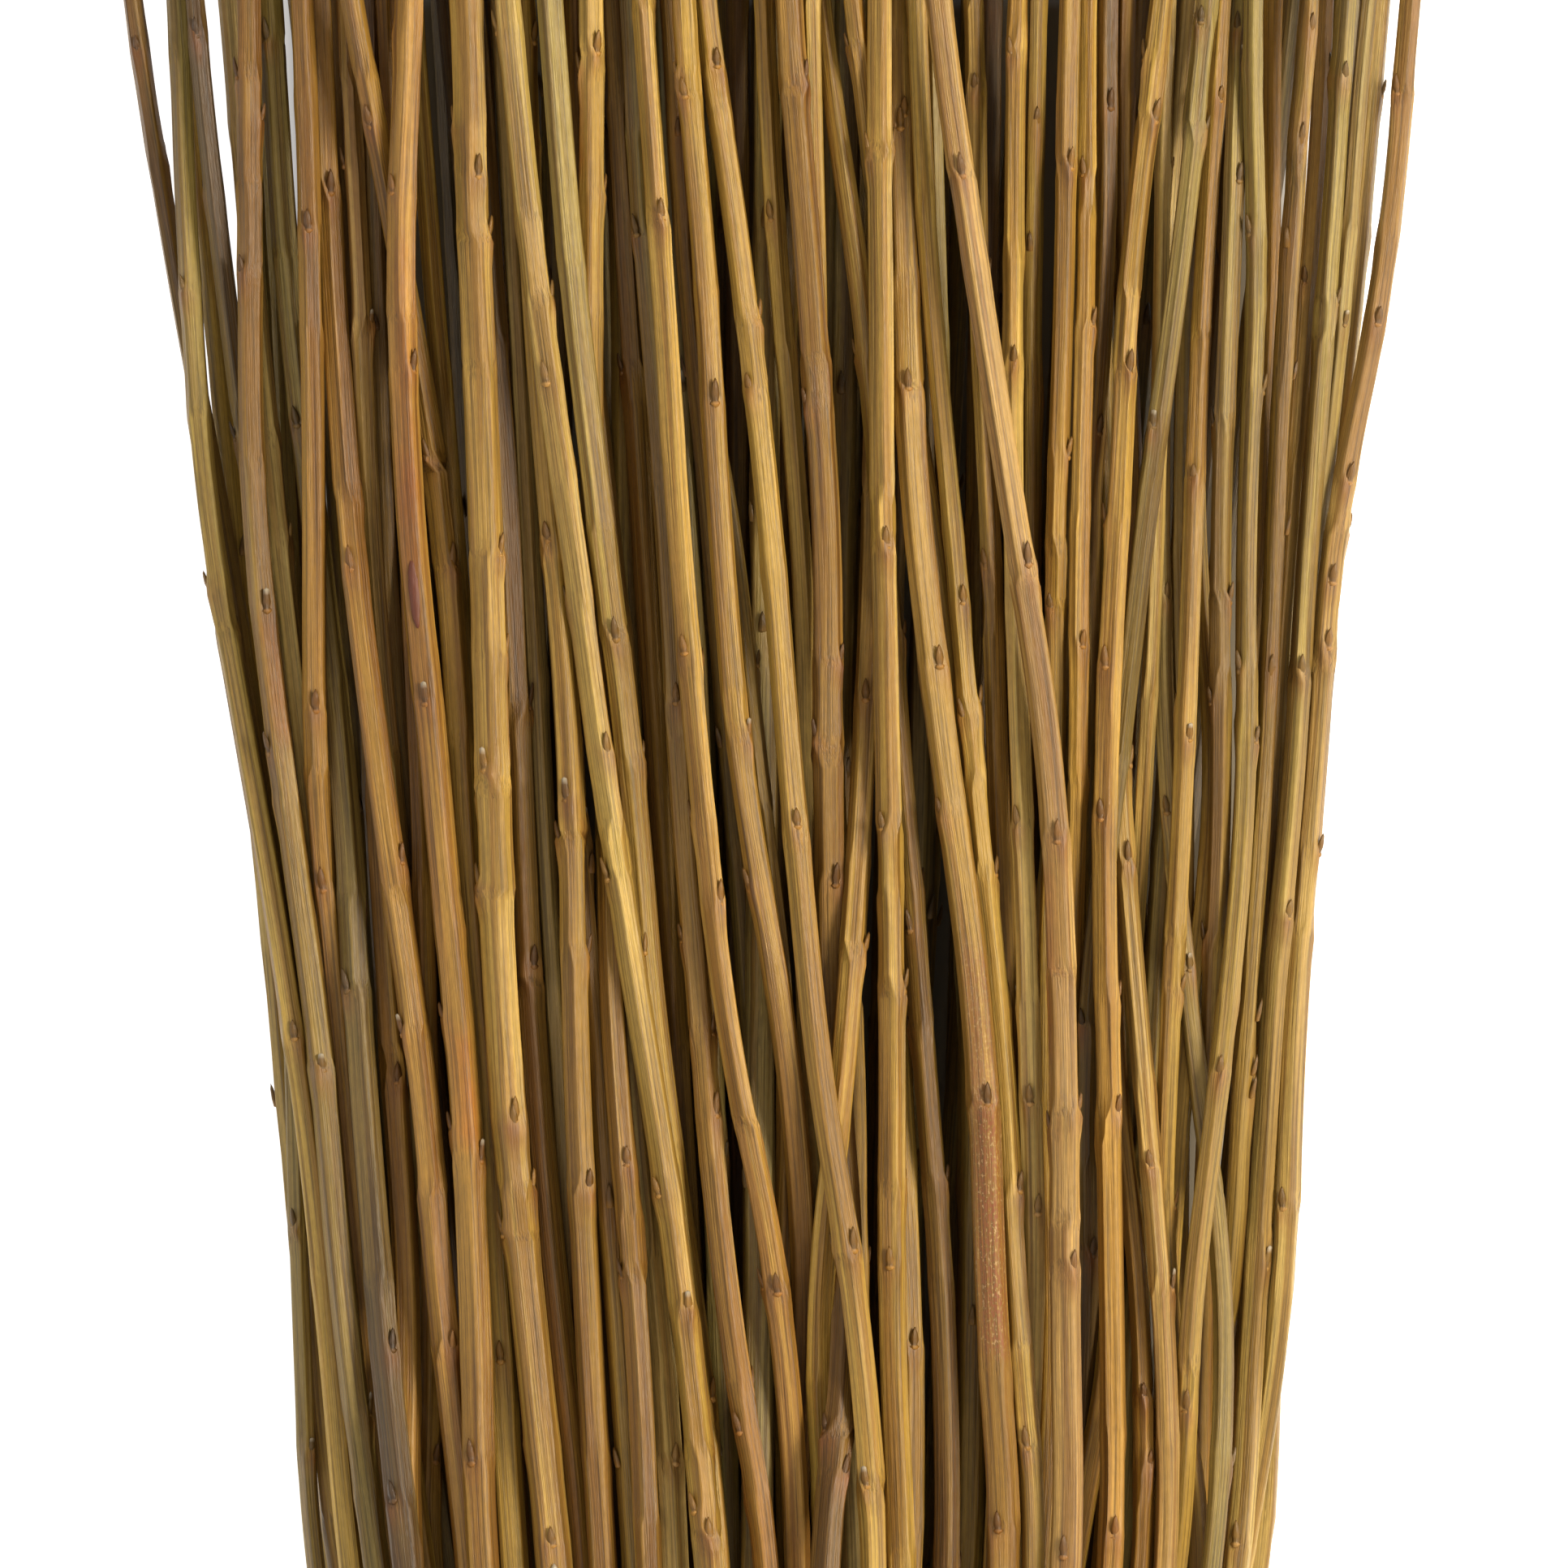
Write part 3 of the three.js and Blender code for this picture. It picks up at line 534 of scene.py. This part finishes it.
# What a stem needs to know at one ring: its middle, its radius, its facets and the buds close by.
def ringAt(stem, y, turns):
    x, z, radius = middleAt(stem, y)
    low, high = growth["shapesBark"]
    passed = sum(1 for bud in stem["buds"] if bud["y"] - bark["turnBelow"] < y)
    turn, into = turns[passed], 1
    if passed:
        into = min(1, (y - stem["buds"][passed - 1]["y"] + bark["turnBelow"]) / bark["turnLength"])
        into = into * into * (3 - 2 * into)
        turn = turns[passed - 1] + (turns[passed] - turns[passed - 1]) * into
    return {
        "middle": (x, z),
        "radius": radius,
        "turn": turn,
        "passed": passed,
        "into": into,
        "stains": [stain for stain in stem["marks"]
                   if stain["low"] - mark["thinsOut"] < y < stain["high"] + mark["thinsOut"]],
        "tone": toneAt(stem, y),
        "near": [(y - bud["y"], bud["angle"]) for bud in stem["buds"] if low < y - bud["y"] < high],
    }


# How far the bark stands out round a bud: a low swelling, and a shelf that fades downwards.
def shoulderShare(away, turn):
    reach = growth["shoulderAbove"] if away > 0 else growth["shoulderBelow"]
    return math.exp(-(away / reach) ** 2 - (leastTurn(turn) / growth["shoulderTurn"]) ** 2)


# Corner by corner round the section: the angle, and how far out the bark lies there.
def sectionOf(stem, sides):
    half = math.pi / bark["facets"]
    corner, flat = bark["cornerShare"], bark["flatShare"]
    shares = (-corner, -flat, flat, corner) if sides == 20 else (-corner, corner)
    section = []
    for facet in range(bark["facets"]):
        for share in shares:
            angle = 2 * half * facet + half * share
            polygon = math.cos(half) / math.cos(half * share) * bark["fullness"]
            uneven = bark["uneven"] * math.sin(2 * angle + stem["seed"] * 3)
            section.append((angle + uneven, 1 + stem["flatness"] * (polygon - 1), facet))
    return section


# How far a point lies in the shallow channel that runs up from each bud.
def channelShare(away, turn):
    if away < bark["channelStart"] or abs(leastTurn(turn)) > bark["channelTurn"]:
        return 0
    return max(0, 1 - away / bark["channelLength"])


def ringLevels(stem):
    kind = "seen" if stem["isSeen"] else "hidden"
    y, end = stem["knots"][0][0], stem["knots"][-1][0]
    levels = [y]
    while y < end - 1 * mm:
        isInPhoto = bottomEdge - bark["photoMargin"] < y < topEdge + bark["photoMargin"]
        step = bark["step"][kind]
        if stem["isSeen"] and not isInPhoto:
            step = bark["step"]["seenAway"]
        y = min(end, y + step)
        levels.append(y)
    return levels


def middleAt(stem, y):
    x, z, radius = lineAt(stem, y)
    seed = stem["seed"]
    x += bark["wander"] * noise.noise(Vector((seed, y / bark["wanderLength"], 0)))
    z += bark["wander"] * noise.noise(Vector((seed, y / bark["wanderLength"], 9)))
    return x, max(z, radius), radius


# The colour of a facet's bark, and how scarred it is. The facets' tones change a little from bud to bud.
def facetColour(ring, tones, facet, y, angle):
    before = tones[max(0, ring["passed"] - 1)][facet]
    tone = before + (tones[ring["passed"]][facet] - before) * ring["into"]
    colour = Vector([part * (1 + tone * by) for part, by in zip(ring["tone"], bark["toneOfFacet"])])
    scarred = 0
    for stain in ring["stains"]:
        share = stain["strength"] * stainShare(stain, y, angle)
        if stain["colour"]:
            colour = colour.lerp(stain["colour"], share)
        else:
            scarred = max(scarred, share)
    return colour, scarred


# One stem: a grid wrapped round the line, then closed with a cut butt and a rounded tip.
def stemShape(stem):
    shape = bmesh.new()
    layers = addLayers(shape)
    levels = ringLevels(stem)
    sides = bark["sides"]["seen" if stem["isSeen"] else "hidden"]
    section = sectionOf(stem, sides)
    rows = len(levels) - 1
    turns = facetTurns(stem)
    tones = facetTones(stem)
    rings = [ringAt(stem, y, turns) for y in levels]
    shoulderTone = toneOf(growth["shoulderColour"])
    bmesh.ops.create_grid(shape, x_segments=sides, y_segments=rows, size=1)
    for vert in shape.verts:
        side = round((vert.co.x + 1) / 2 * sides) % sides
        level = round((vert.co.y + 1) / 2 * rows)
        ring, y = rings[level], levels[level]
        angle, reach, facet = section[side]
        angle += ring["turn"]
        reach *= ring["radius"]
        colour, scarred = facetColour(ring, tones, facet, y, angle)
        for away, budAngle in ring["near"]:
            shelf = shoulderShare(away, angle - budAngle)
            channel = channelShare(away, angle - budAngle)
            reach += growth["swelling"] * math.exp(-(away / growth["swellingReach"]) ** 2)
            reach += growth["shoulder"] * shelf - bark["channel"] * channel
            colour = colour * (1 + bark["channelPaler"] * channel)
            colour = colour.lerp(shoulderTone, growth["shoulderStain"] * shelf)
        x, z = ring["middle"]
        vert.co = (x + reach * math.cos(angle), y, z + reach * math.sin(angle))
        paint(vert, layers, colour, 1, 1 - scarred)
        across, up = math.cos(angle) * ring["radius"], math.sin(angle) * ring["radius"]
        vert[layers["place"]] = (across, y + stem["seed"], up)
    bmesh.ops.remove_doubles(shape, verts=shape.verts, dist=bark["seam"])
    closeEnd(shape, levels[0], rings[0]["middle"], layers, bark["buttSteps"])
    closeEnd(shape, levels[-1], rings[-1]["middle"], layers, bark["tipSteps"])
    bmesh.ops.recalc_face_normals(shape, faces=shape.faces)
    return shape


def addLayers(shape):
    return {
        "tone": shape.verts.layers.float_color.new("barkTone"),
        "place": shape.verts.layers.float_vector.new("barkPlace"),
        "streaks": shape.verts.layers.float.new("streakShare"),
    }


# The tone's fourth value is 1 on whole bark and less where it is rubbed and scarred.
def paint(vert, layers, colour, streakShare, wholeness=1):
    vert[layers["tone"]] = (*colour, wholeness)
    vert[layers["streaks"]] = streakShare


# The end's rim drawn in towards the middle, step by step: size, way along the stem, colour.
def closeEnd(shape, y, middle, layers, steps):
    rim = [edge for edge in shape.edges if edge.is_boundary and abs(edge.verts[0].co.y - y) < bark["rim"]]
    centre = Vector((middle[0], y, middle[1]))
    for size, along, colour in steps:
        made = bmesh.ops.extrude_edge_only(shape, edges=rim)["geom"]
        verts = [part for part in made if isinstance(part, bmesh.types.BMVert)]
        fresh = set(verts)
        rim = [part for part in made
               if isinstance(part, bmesh.types.BMEdge) and fresh.issuperset(part.verts)]
        bmesh.ops.scale(shape, verts=verts, vec=(size, 1, size), space=Matrix.Translation(-centre))
        bmesh.ops.translate(shape, verts=verts, vec=(0, along, 0))
        if colour:
            for vert in verts:
                paint(vert, layers, toneOf(colour), 0)
    bmesh.ops.contextual_create(shape, geom=rim)


# Buds, pressed flat against the stem

buds = {
    "length": (3.7 * mm, 5.0 * mm),
    "width": 1.95 * mm,
    "thickness": 1.5 * mm,
    "lean": 0.2,
    "foot": 0.9,                   # how far out it stands, of the stem's radius
    "underside": -0.3,             # how far it reaches in from there, of half its thickness
    "ahead": 5 * mm,               # the stem's direction at a bud is read over this length
    "fullRadius": 2.4 * mm,        # thinner stems have smaller buds
    "streaks": 0.25,
    "tint": (0.75, 1.2),
    # The bud's low edge is darker than its ridge: partly the bud's own dark margin, partly painted shade
    # where it meets the stem.
    "edge": (0.38, 0.31, 0.24),    # the bud's edge, ridge and ledge against the stem's own tone
    "ridge": (0.54, 0.43, 0.33),
    "ledge": (0.98, 0.80, 0.80),
    "down": "#c4bba6",
    "downWhiteness": 0.8,
    "downFrom": 0.7,               # how far up the bud its tuft of down starts
    "downWidth": 0.66,
    "downTip": 0.94,
    # along the bud: how far up it, how wide, how thick
    "rich": [(-0.2, 0.6, 0.9), (-0.07, 1.2, 1.0), (0.04, 0.72, 0.8), (0.3, 1.0, 1.0), (0.6, 0.78, 0.8),
             (0.86, 0.38, 0.5)],
    "plain": [(-0.08, 0.95, 0.9), (0.28, 1.0, 1.0), (0.74, 0.55, 0.6)],
}


def shaded(tone, shares, tint=1):
    return Vector([part * by * tint for part, by in zip(tone, shares)])


# A bud: a ball drawn out to a point along the stem and pressed flat against it, on a pale ledge.
def addBud(shape, layers, stem, bud, dice):
    y = bud["y"]
    x, z, radius = middleAt(stem, y)
    aheadX, aheadZ, _ = middleAt(stem, y + buds["ahead"])
    along = Vector((aheadX - x, buds["ahead"], aheadZ - z)).normalized()
    out = Vector((math.cos(bud["angle"]), 0, math.sin(bud["angle"])))
    across = along.cross(out).normalized()
    out = across.cross(along).normalized()
    length = dice.uniform(*buds["length"])
    size = min(1, radius / buds["fullRadius"])
    levels = buds["rich" if stem["isSeen"] and bottomEdge < y < topEdge else "plain"]
    rings = len(levels)
    tint = dice.uniform(*buds["tint"])
    own = toneAt(stem, y)
    edge, ridge = shaded(own, buds["edge"], tint), shaded(own, buds["ridge"], tint)
    ledge = shaded(own, buds["ledge"])
    foot = Vector((x, y, z)) + out * radius * buds["foot"]
    made = bmesh.ops.create_uvsphere(shape, u_segments=6, v_segments=rings + 1, radius=1)
    for vert in made["verts"]:
        level = round(math.acos(max(-1, min(1, -vert.co.z))) / math.pi * (rings + 1)) - 1
        share, wide, thick = levels[max(0, min(rings - 1, level))]
        isDown = bud["isDowny"] and share > buds["downFrom"]
        around = math.hypot(vert.co.x, vert.co.y)
        side = rise = 0
        if around > 0.01:
            side = vert.co.x / around * (buds["downWidth"] if isDown else wide) * buds["width"] / 2
            rise = max(buds["underside"], vert.co.y / around) * thick * buds["thickness"] / 2
        elif level < 0:
            share -= 0.06
        else:
            share = buds["downTip"] if bud["isDowny"] else 1
        lift = max(0, share) * length * buds["lean"]
        vert.co = foot + (across * side + along * share * length + out * (rise + lift)) * size
        # the low sides take the darker edge tone: partly the bud's own margin, partly painted shade in the
        # crease against the stem
        tone = ridge if rise > 0.2 * buds["thickness"] and share > 0.1 else edge
        if share < 0.02:
            tone = ledge
        elif isDown:
            tone = ridge.lerp(toneOf(buds["down"]), buds["downWhiteness"])
        paint(vert, layers, tone, buds["streaks"])
        vert[layers["place"]] = (side, y + stem["seed"], rise)


# A dark red scab in the photo, where the bark was hurt: a long, thin lens on a flat side of its stem.
scab = {
    "column": 517,
    "rows": (690, 774),
    "width": 2.7 * mm,
    "thickness": 0.8 * mm,
    "foot": 0.92,
    "raggedLength": 2.2 * mm,
    "colour": "#55240f",
    "paler": "#84462a",
    "patchLength": 1.6 * mm,
    "streaks": 0.3,
}
scabbed, scabAngle = stemOnTop(scab["column"], sum(scab["rows"]) / 2)


def addScab(shape, layers):
    high, low = (photoY(row) for row in scab["rows"])
    fifth = 2 * math.pi / bark["facets"]
    passed = sum(1 for bud in scabbed["buds"] if bud["y"] < (low + high) / 2)
    turn = facetTurns(scabbed)[passed]
    angle = turn + round((scabAngle - turn) / fifth) * fifth
    made = bmesh.ops.create_uvsphere(shape, u_segments=8, v_segments=14, radius=1)
    for vert in made["verts"]:
        y = low + (high - low) * (1 + vert.co.z) / 2
        x, z, radius = middleAt(scabbed, y)
        ragged = 1 + 0.5 * noise.noise(Vector((vert.co.x, y / scab["raggedLength"], 4)))
        away = angle + vert.co.x * ragged * scab["width"] / 2 / radius
        reach = radius * scab["foot"] + vert.co.y * scab["thickness"] / 2
        share = 0.5 + 0.5 * noise.noise(Vector((vert.co.x * 2, y / scab["patchLength"], 8)))
        colour = toneOf(scab["colour"]).lerp(toneOf(scab["paler"]), share)
        vert.co = (x + reach * math.cos(away), y, z + reach * math.sin(away))
        paint(vert, layers, colour, scab["streaks"])
        vert[layers["place"]] = (vert.co.x, y, vert.co.z)


# Pieces

def objectFrom(shape, name, material):
    mesh = bpy.data.meshes.new(name)
    shape.to_mesh(mesh)
    shape.free()
    mesh.materials.append(material)
    for polygon in mesh.polygons:
        polygon.use_smooth = True
    piece = bpy.data.objects.new(name, mesh)
    bpy.context.collection.objects.link(piece)
    return piece


# All stems of a node with their buds, as one piece.
def buildNode(nodeName, material):
    whole = bmesh.new()
    addLayers(whole)
    dice = random.Random(nodeName)
    for stem in stems:
        if stem["node"] != nodeName:
            continue
        stem["seed"] = dice.uniform(0, 50)
        stem["flatness"] = dice.uniform(*bark["facetShare"])
        shape = stemShape(stem)
        budShape = bmesh.new()
        budLayers = addLayers(budShape)
        for bud in stem["buds"]:
            addBud(budShape, budLayers, stem, bud, dice)
        if stem is scabbed:
            addScab(budShape, budLayers)
        for part in (shape, budShape):
            carrier = bpy.data.meshes.new("carrier")
            part.to_mesh(carrier)
            part.free()
            whole.from_mesh(carrier)
            bpy.data.meshes.remove(carrier)
    piece = objectFrom(whole, nodeName.replace("stems", "willow"), material)
    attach(piece, "root")
    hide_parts(nodeName)
    return piece


# Patterns of the bark: how wide and how long a streak is, the noise's detail, the part of the noise that
# shows, and the light it gives from one end to the other.
barkPatterns = {
    "flank": (2.2 * mm, 140 * mm, 2, (0.42, 0.58), (0, 1)),
    "narrow": (0.7 * mm, 34 * mm, 3, (0.3, 0.7), (0.8, 1.16)),
    "lines": (0.4 * mm, 46 * mm, 2, (0.52, 0.6), (1, 0.62)),
    "speckle": (0.9 * mm, 2.4 * mm, 3, (0.3, 0.7), (0.9, 1.08)),
    "grooves": (0.3 * mm, 14 * mm, 3, (0, 1), (0, 1)),
    "redSpecks": (0.5 * mm, 0.9 * mm, 3, (0.44, 0.56), (0, 1)),
    "paleSpecks": (0.5 * mm, 0.9 * mm, 3, (0.42, 0.34), (0, 1)),
}


# Dried willow bark: a thin skin shrunk on to the wood, in lengthwise streaks and fine grooves, with
# a faint waxy gloss on the ridges.
def willowBark():
    material = bpy.data.materials.new("driedWillowBark")
    material.use_nodes = True
    tree = material.node_tree
    surface = tree.nodes["Principled BSDF"]
    tone = addNode(tree, "ShaderNodeAttribute", {"attribute_name": "barkTone"})
    place = addNode(tree, "ShaderNodeAttribute", {"attribute_name": "barkPlace"})
    streakShare = addNode(tree, "ShaderNodeAttribute", {"attribute_name": "streakShare"})
    pattern = {}
    for name, (across, along, detail, shown, light) in barkPatterns.items():
        stretch = addNode(tree, "ShaderNodeMapping", {"Scale": (1 / across, 1 / along, 1 / across)},
                          {"Vector": place.outputs["Vector"]})
        streaks = addNode(tree, "ShaderNodeTexNoise", {"Scale": 1, "Detail": detail, "Roughness": 0.55},
                          {"Vector": stretch.outputs["Vector"]})
        ends = {"From Min": shown[0], "From Max": shown[1], "To Min": light[0], "To Max": light[1]}
        spread = addNode(tree, "ShaderNodeMapRange", ends, {"Value": streaks.outputs["Fac"]})
        pattern[name] = spread.outputs["Result"]

    # Brown and yellow run side by side along the stem, with darker lines between.
    tint = addNode(tree, "ShaderNodeMix", {"data_type": "RGBA", "A": (0.70, 0.60, 0.50, 1),
                                           "B": (1.10, 1.11, 1.10, 1)}, {"Factor": pattern["flank"]})
    light = pattern["narrow"]
    for name in ("lines", "speckle"):
        product = addNode(tree, "ShaderNodeMath", {"operation": "MULTIPLY"}, {0: light, 1: pattern[name]})
        light = product.outputs["Value"]
    streaked = addNode(tree, "ShaderNodeVectorMath", {"operation": "SCALE"},
                       {"Vector": tint.outputs["Result"], "Scale": light})
    evened = addNode(tree, "ShaderNodeMix", {"data_type": "VECTOR", "A": (1, 1, 1)},
                     {"Factor": streakShare.outputs["Fac"], "B": streaked.outputs["Vector"]})
    toned = addNode(tree, "ShaderNodeVectorMath", {"operation": "MULTIPLY"},
                    {0: tone.outputs["Color"], 1: evened.outputs["Result"]})
    colour = toned.outputs["Vector"]

    # Scarred bark: red-brown specks and pale ones, thick where the bark is least whole.
    scarring = addNode(tree, "ShaderNodeMath", {"operation": "SUBTRACT", 0: 1}, {1: tone.outputs["Alpha"]})
    for name, speck in (("redSpecks", "#93502f"), ("paleSpecks", "#cfa678")):
        share = addNode(tree, "ShaderNodeMath", {"operation": "MULTIPLY"},
                        {0: pattern[name], 1: scarring.outputs["Value"]})
        mixed = addNode(tree, "ShaderNodeMix", {"data_type": "RGBA", "B": linearColour(speck)},
                        {"Factor": share.outputs["Value"], "A": colour})
        colour = mixed.outputs["Result"]
    tree.links.new(colour, surface.inputs["Base Color"])
    surface.inputs["Roughness"].default_value = 0.46
    surface.inputs["Specular IOR Level"].default_value = 0.55
    bump = addNode(tree, "ShaderNodeBump", {"Strength": 0.8, "Distance": 0.3 * mm},
                   {"Height": pattern["grooves"]})
    tree.links.new(bump.outputs["Normal"], surface.inputs["Normal"])
    return material


barkMaterial = willowBark()
for nodeName in sorted(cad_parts):
    if nodeName.startswith("stems"):
        buildNode(nodeName, barkMaterial)
print("stems built:", len(stems))


# Twine: three strands laid round each other along the coil and the knot

twine = {
    "radius": 1.5 * mm,
    "turns": 4,
    "pitch": 3.1 * mm,
    "segmentsPerTurn": 24,
    "knotLoop": 4.2 * mm,
    "knotWidth": 1.25,          # of the loop
    "knotLift": 1.9,            # of the twine's radius
    "knotWeave": 1.35 * mm,     # how far it goes over and under itself
    "knotSteps": 52,
    "tails": (-3.4, 3.6),       # where the knot's ends leave the coil, in pitches
    "strands": 3,
    "strandRadius": 0.8 * mm,
    "strandOffset": 0.74 * mm,
    "lay": 8.5 * mm,
    "step": 1.3 * mm,
    "dark": "#8a6c42",
    "pale": "#cdb184",
}
tieLow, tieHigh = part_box("tie")
halfStep = math.pi / twine["segmentsPerTurn"]
flatHeight = twine["radius"] * math.cos(math.pi / 6)
coilRadius = (tieHigh.x - tieLow.x) / 2 / math.cos(halfStep) - flatHeight
neckHeight = coilRadius * math.cos(halfStep) + flatHeight + tieLow.z


# A point of the coil: how many turns round it, how far out of it, and where along the stems.
def onCoil(turn, lift, y):
    angle = math.pi / 2 - 2 * math.pi * turn
    radius = coilRadius + lift
    return Vector((radius * math.cos(angle), y, neckHeight + radius * math.sin(angle)))


def coilRoute():
    steps = round(twine["turns"] * 2 * math.pi * coilRadius / twine["step"])
    turns = [twine["turns"] * step / steps + 0.5 / twine["segmentsPerTurn"] for step in range(steps + 1)]
    return [onCoil(turn, 0, twine["pitch"] * (turn - 1.5)) for turn in turns]


# The knot winds one and a half times over and under itself on top of the coil, with a tail at either end.
def knotRoute():
    lift = twine["radius"] * twine["knotLift"]
    across = twine["knotWidth"] * twine["knotLoop"]
    firstTail, lastTail = twine["tails"]
    route = [onCoil(-0.045, lift * 0.6, twine["pitch"] * firstTail)]
    for step in range(twine["knotSteps"] + 1):
        turn = step / twine["knotSteps"] * 3 * math.pi - 0.75 * math.pi
        x = across * (math.sin(turn) + 0.35 * math.sin(2 * turn))
        y = twine["knotLoop"] * (math.cos(turn) - 0.25 * math.cos(2 * turn))
        z = neckHeight + coilRadius + lift + twine["knotWeave"] * math.sin(1.5 * turn)
        route.append(Vector((x, y, z)))
    route.append(onCoil(0.05, lift * 0.6, twine["pitch"] * lastTail))
    return route


def addStrands(curve, route):
    lengths = [0]
    for before, after in zip(route, route[1:]):
        lengths.append(lengths[-1] + (after - before).length)
    for strand in range(twine["strands"]):
        spline = curve.splines.new("POLY")
        spline.points.add(len(route) - 1)
        for index, point in enumerate(route):
            ahead = (route[min(index + 1, len(route) - 1)] - route[max(index - 1, 0)]).normalized()
            out = Vector((point.x, 0, point.z - neckHeight)).normalized()
            side = ahead.cross(out).normalized()
            out = side.cross(ahead)
            angle = 2 * math.pi * (lengths[index] / twine["lay"] + strand / twine["strands"])
            place = point + (side * math.cos(angle) + out * math.sin(angle)) * twine["strandOffset"]
            spline.points[index].co = (*place, 1)
        spline.use_smooth = True


# Natural jute: long dull bast fibres spun and laid, pale brown, with no gloss.
def juteFibre():
    material = bpy.data.materials.new("spunJuteTwine")
    material.use_nodes = True
    tree = material.node_tree
    surface = tree.nodes["Principled BSDF"]
    place = addNode(tree, "ShaderNodeTexCoord")
    grain = addNode(tree, "ShaderNodeTexNoise", {"Scale": 1 / (0.6 * mm), "Detail": 4, "Roughness": 0.7},
                    {"Vector": place.outputs["Object"]})
    ramp = addNode(tree, "ShaderNodeValToRGB", {}, {"Fac": grain.outputs["Fac"]})
    dark, pale = ramp.color_ramp.elements
    dark.position, dark.color = 0.3, linearColour(twine["dark"])
    pale.position, pale.color = 0.7, linearColour(twine["pale"])
    tree.links.new(ramp.outputs["Color"], surface.inputs["Base Color"])
    surface.inputs["Roughness"].default_value = 0.9
    bump = addNode(tree, "ShaderNodeBump", {"Strength": 0.7, "Distance": 0.2 * mm},
                   {"Height": grain.outputs["Fac"]})
    tree.links.new(bump.outputs["Normal"], surface.inputs["Normal"])
    return material


def buildTwine():
    curve = bpy.data.curves.new("twineCurve", "CURVE")
    curve.dimensions = "3D"
    curve.bevel_depth = twine["strandRadius"]
    curve.bevel_resolution = 1
    curve.use_fill_caps = True
    addStrands(curve, coilRoute())
    addStrands(curve, knotRoute())
    carrier = bpy.data.objects.new("twineCurve", curve)
    bpy.context.collection.objects.link(carrier)
    bpy.context.view_layer.update()
    mesh = bpy.data.meshes.new_from_object(carrier)
    bpy.data.objects.remove(carrier)
    mesh.name = "twine"
    mesh.materials.clear()
    mesh.materials.append(juteFibre())
    piece = bpy.data.objects.new("twine", mesh)
    bpy.context.collection.objects.link(piece)
    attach(piece, "root")
    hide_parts("tie")


buildTwine()
print("twine built")


# Floor

# Painted shade under the bunch: a patch where the floor's glow is taken away and its colour painted
# darker, with soft sides.
shade = {
    "left": (310, 372),    # columns of the dark patch's sides at the photo's top and bottom edge
    "right": (1662, 1545),
    "softness": 12 * mm,
    "fade": 150 * mm,
    "colour": "#8f8676",
}
panel = {
    "size": 12,
    "glow": 0.85,
    "colour": "#f6f6f6",
}


# Opal acrylic, lit from behind so that it is evenly white. In a patch under the bunch, with soft sides,
# its glow is taken away and its colour painted darker: painted shade under the bunch, which keeps the gaps
# there dark.
def opalPanel():
    material = bpy.data.materials.new("backLitOpalWithPaintedShade")
    material.use_nodes = True
    tree = material.node_tree
    surface = tree.nodes["Principled BSDF"]
    place = addNode(tree, "ShaderNodeTexCoord")
    parts = addNode(tree, "ShaderNodeSeparateXYZ", {}, {"Vector": place.outputs["Object"]})
    x, y = parts.outputs["X"], parts.outputs["Y"]
    shares = []
    for side, inner, outer in (("left", 0, 1), ("right", 1, 0)):
        top, bottom = (photoX(column) for column in shade[side])
        ends = {"clamp": False, "From Min": topEdge, "From Max": bottomEdge,
                "To Min": top, "To Max": bottom}
        edge = addNode(tree, "ShaderNodeMapRange", ends, {"Value": y})
        into = addNode(tree, "ShaderNodeMath", {"operation": "SUBTRACT"},
                       {inner: x, outer: edge.outputs["Result"]})
        shares.append(addNode(tree, "ShaderNodeMapRange", {"From Max": shade["softness"]},
                              {"Value": into.outputs["Value"]}))
    for edge, beyond in ((topEdge, shade["fade"]), (bottomEdge, -shade["fade"])):
        shares.append(addNode(tree, "ShaderNodeMapRange", {"From Min": edge + beyond, "From Max": edge},
                              {"Value": y}))
    dark = shares[0].outputs["Result"]
    for share in shares[1:]:
        product = addNode(tree, "ShaderNodeMath", {"operation": "MULTIPLY"},
                          {0: dark, 1: share.outputs["Result"]})
        dark = product.outputs["Value"]
    glow = addNode(tree, "ShaderNodeMapRange", {"To Min": panel["glow"], "To Max": 0}, {"Value": dark})
    tint = addNode(tree, "ShaderNodeMix", {"data_type": "RGBA", "A": linearColour(panel["colour"]),
                                           "B": linearColour(shade["colour"])}, {"Factor": dark})
    tree.links.new(glow.outputs["Result"], surface.inputs["Emission Strength"])
    tree.links.new(tint.outputs["Result"], surface.inputs["Base Color"])
    surface.inputs["Roughness"].default_value = 0.8
    surface.inputs["Emission Color"].default_value = (1, 1, 1, 1)
    return material


def addFloor():
    shape = bmesh.new()
    bmesh.ops.create_grid(shape, x_segments=1, y_segments=1, size=panel["size"])
    objectFrom(shape, "floor", opalPanel())


addFloor()
addLights()
addCamera()
print("floor, lights and camera placed")
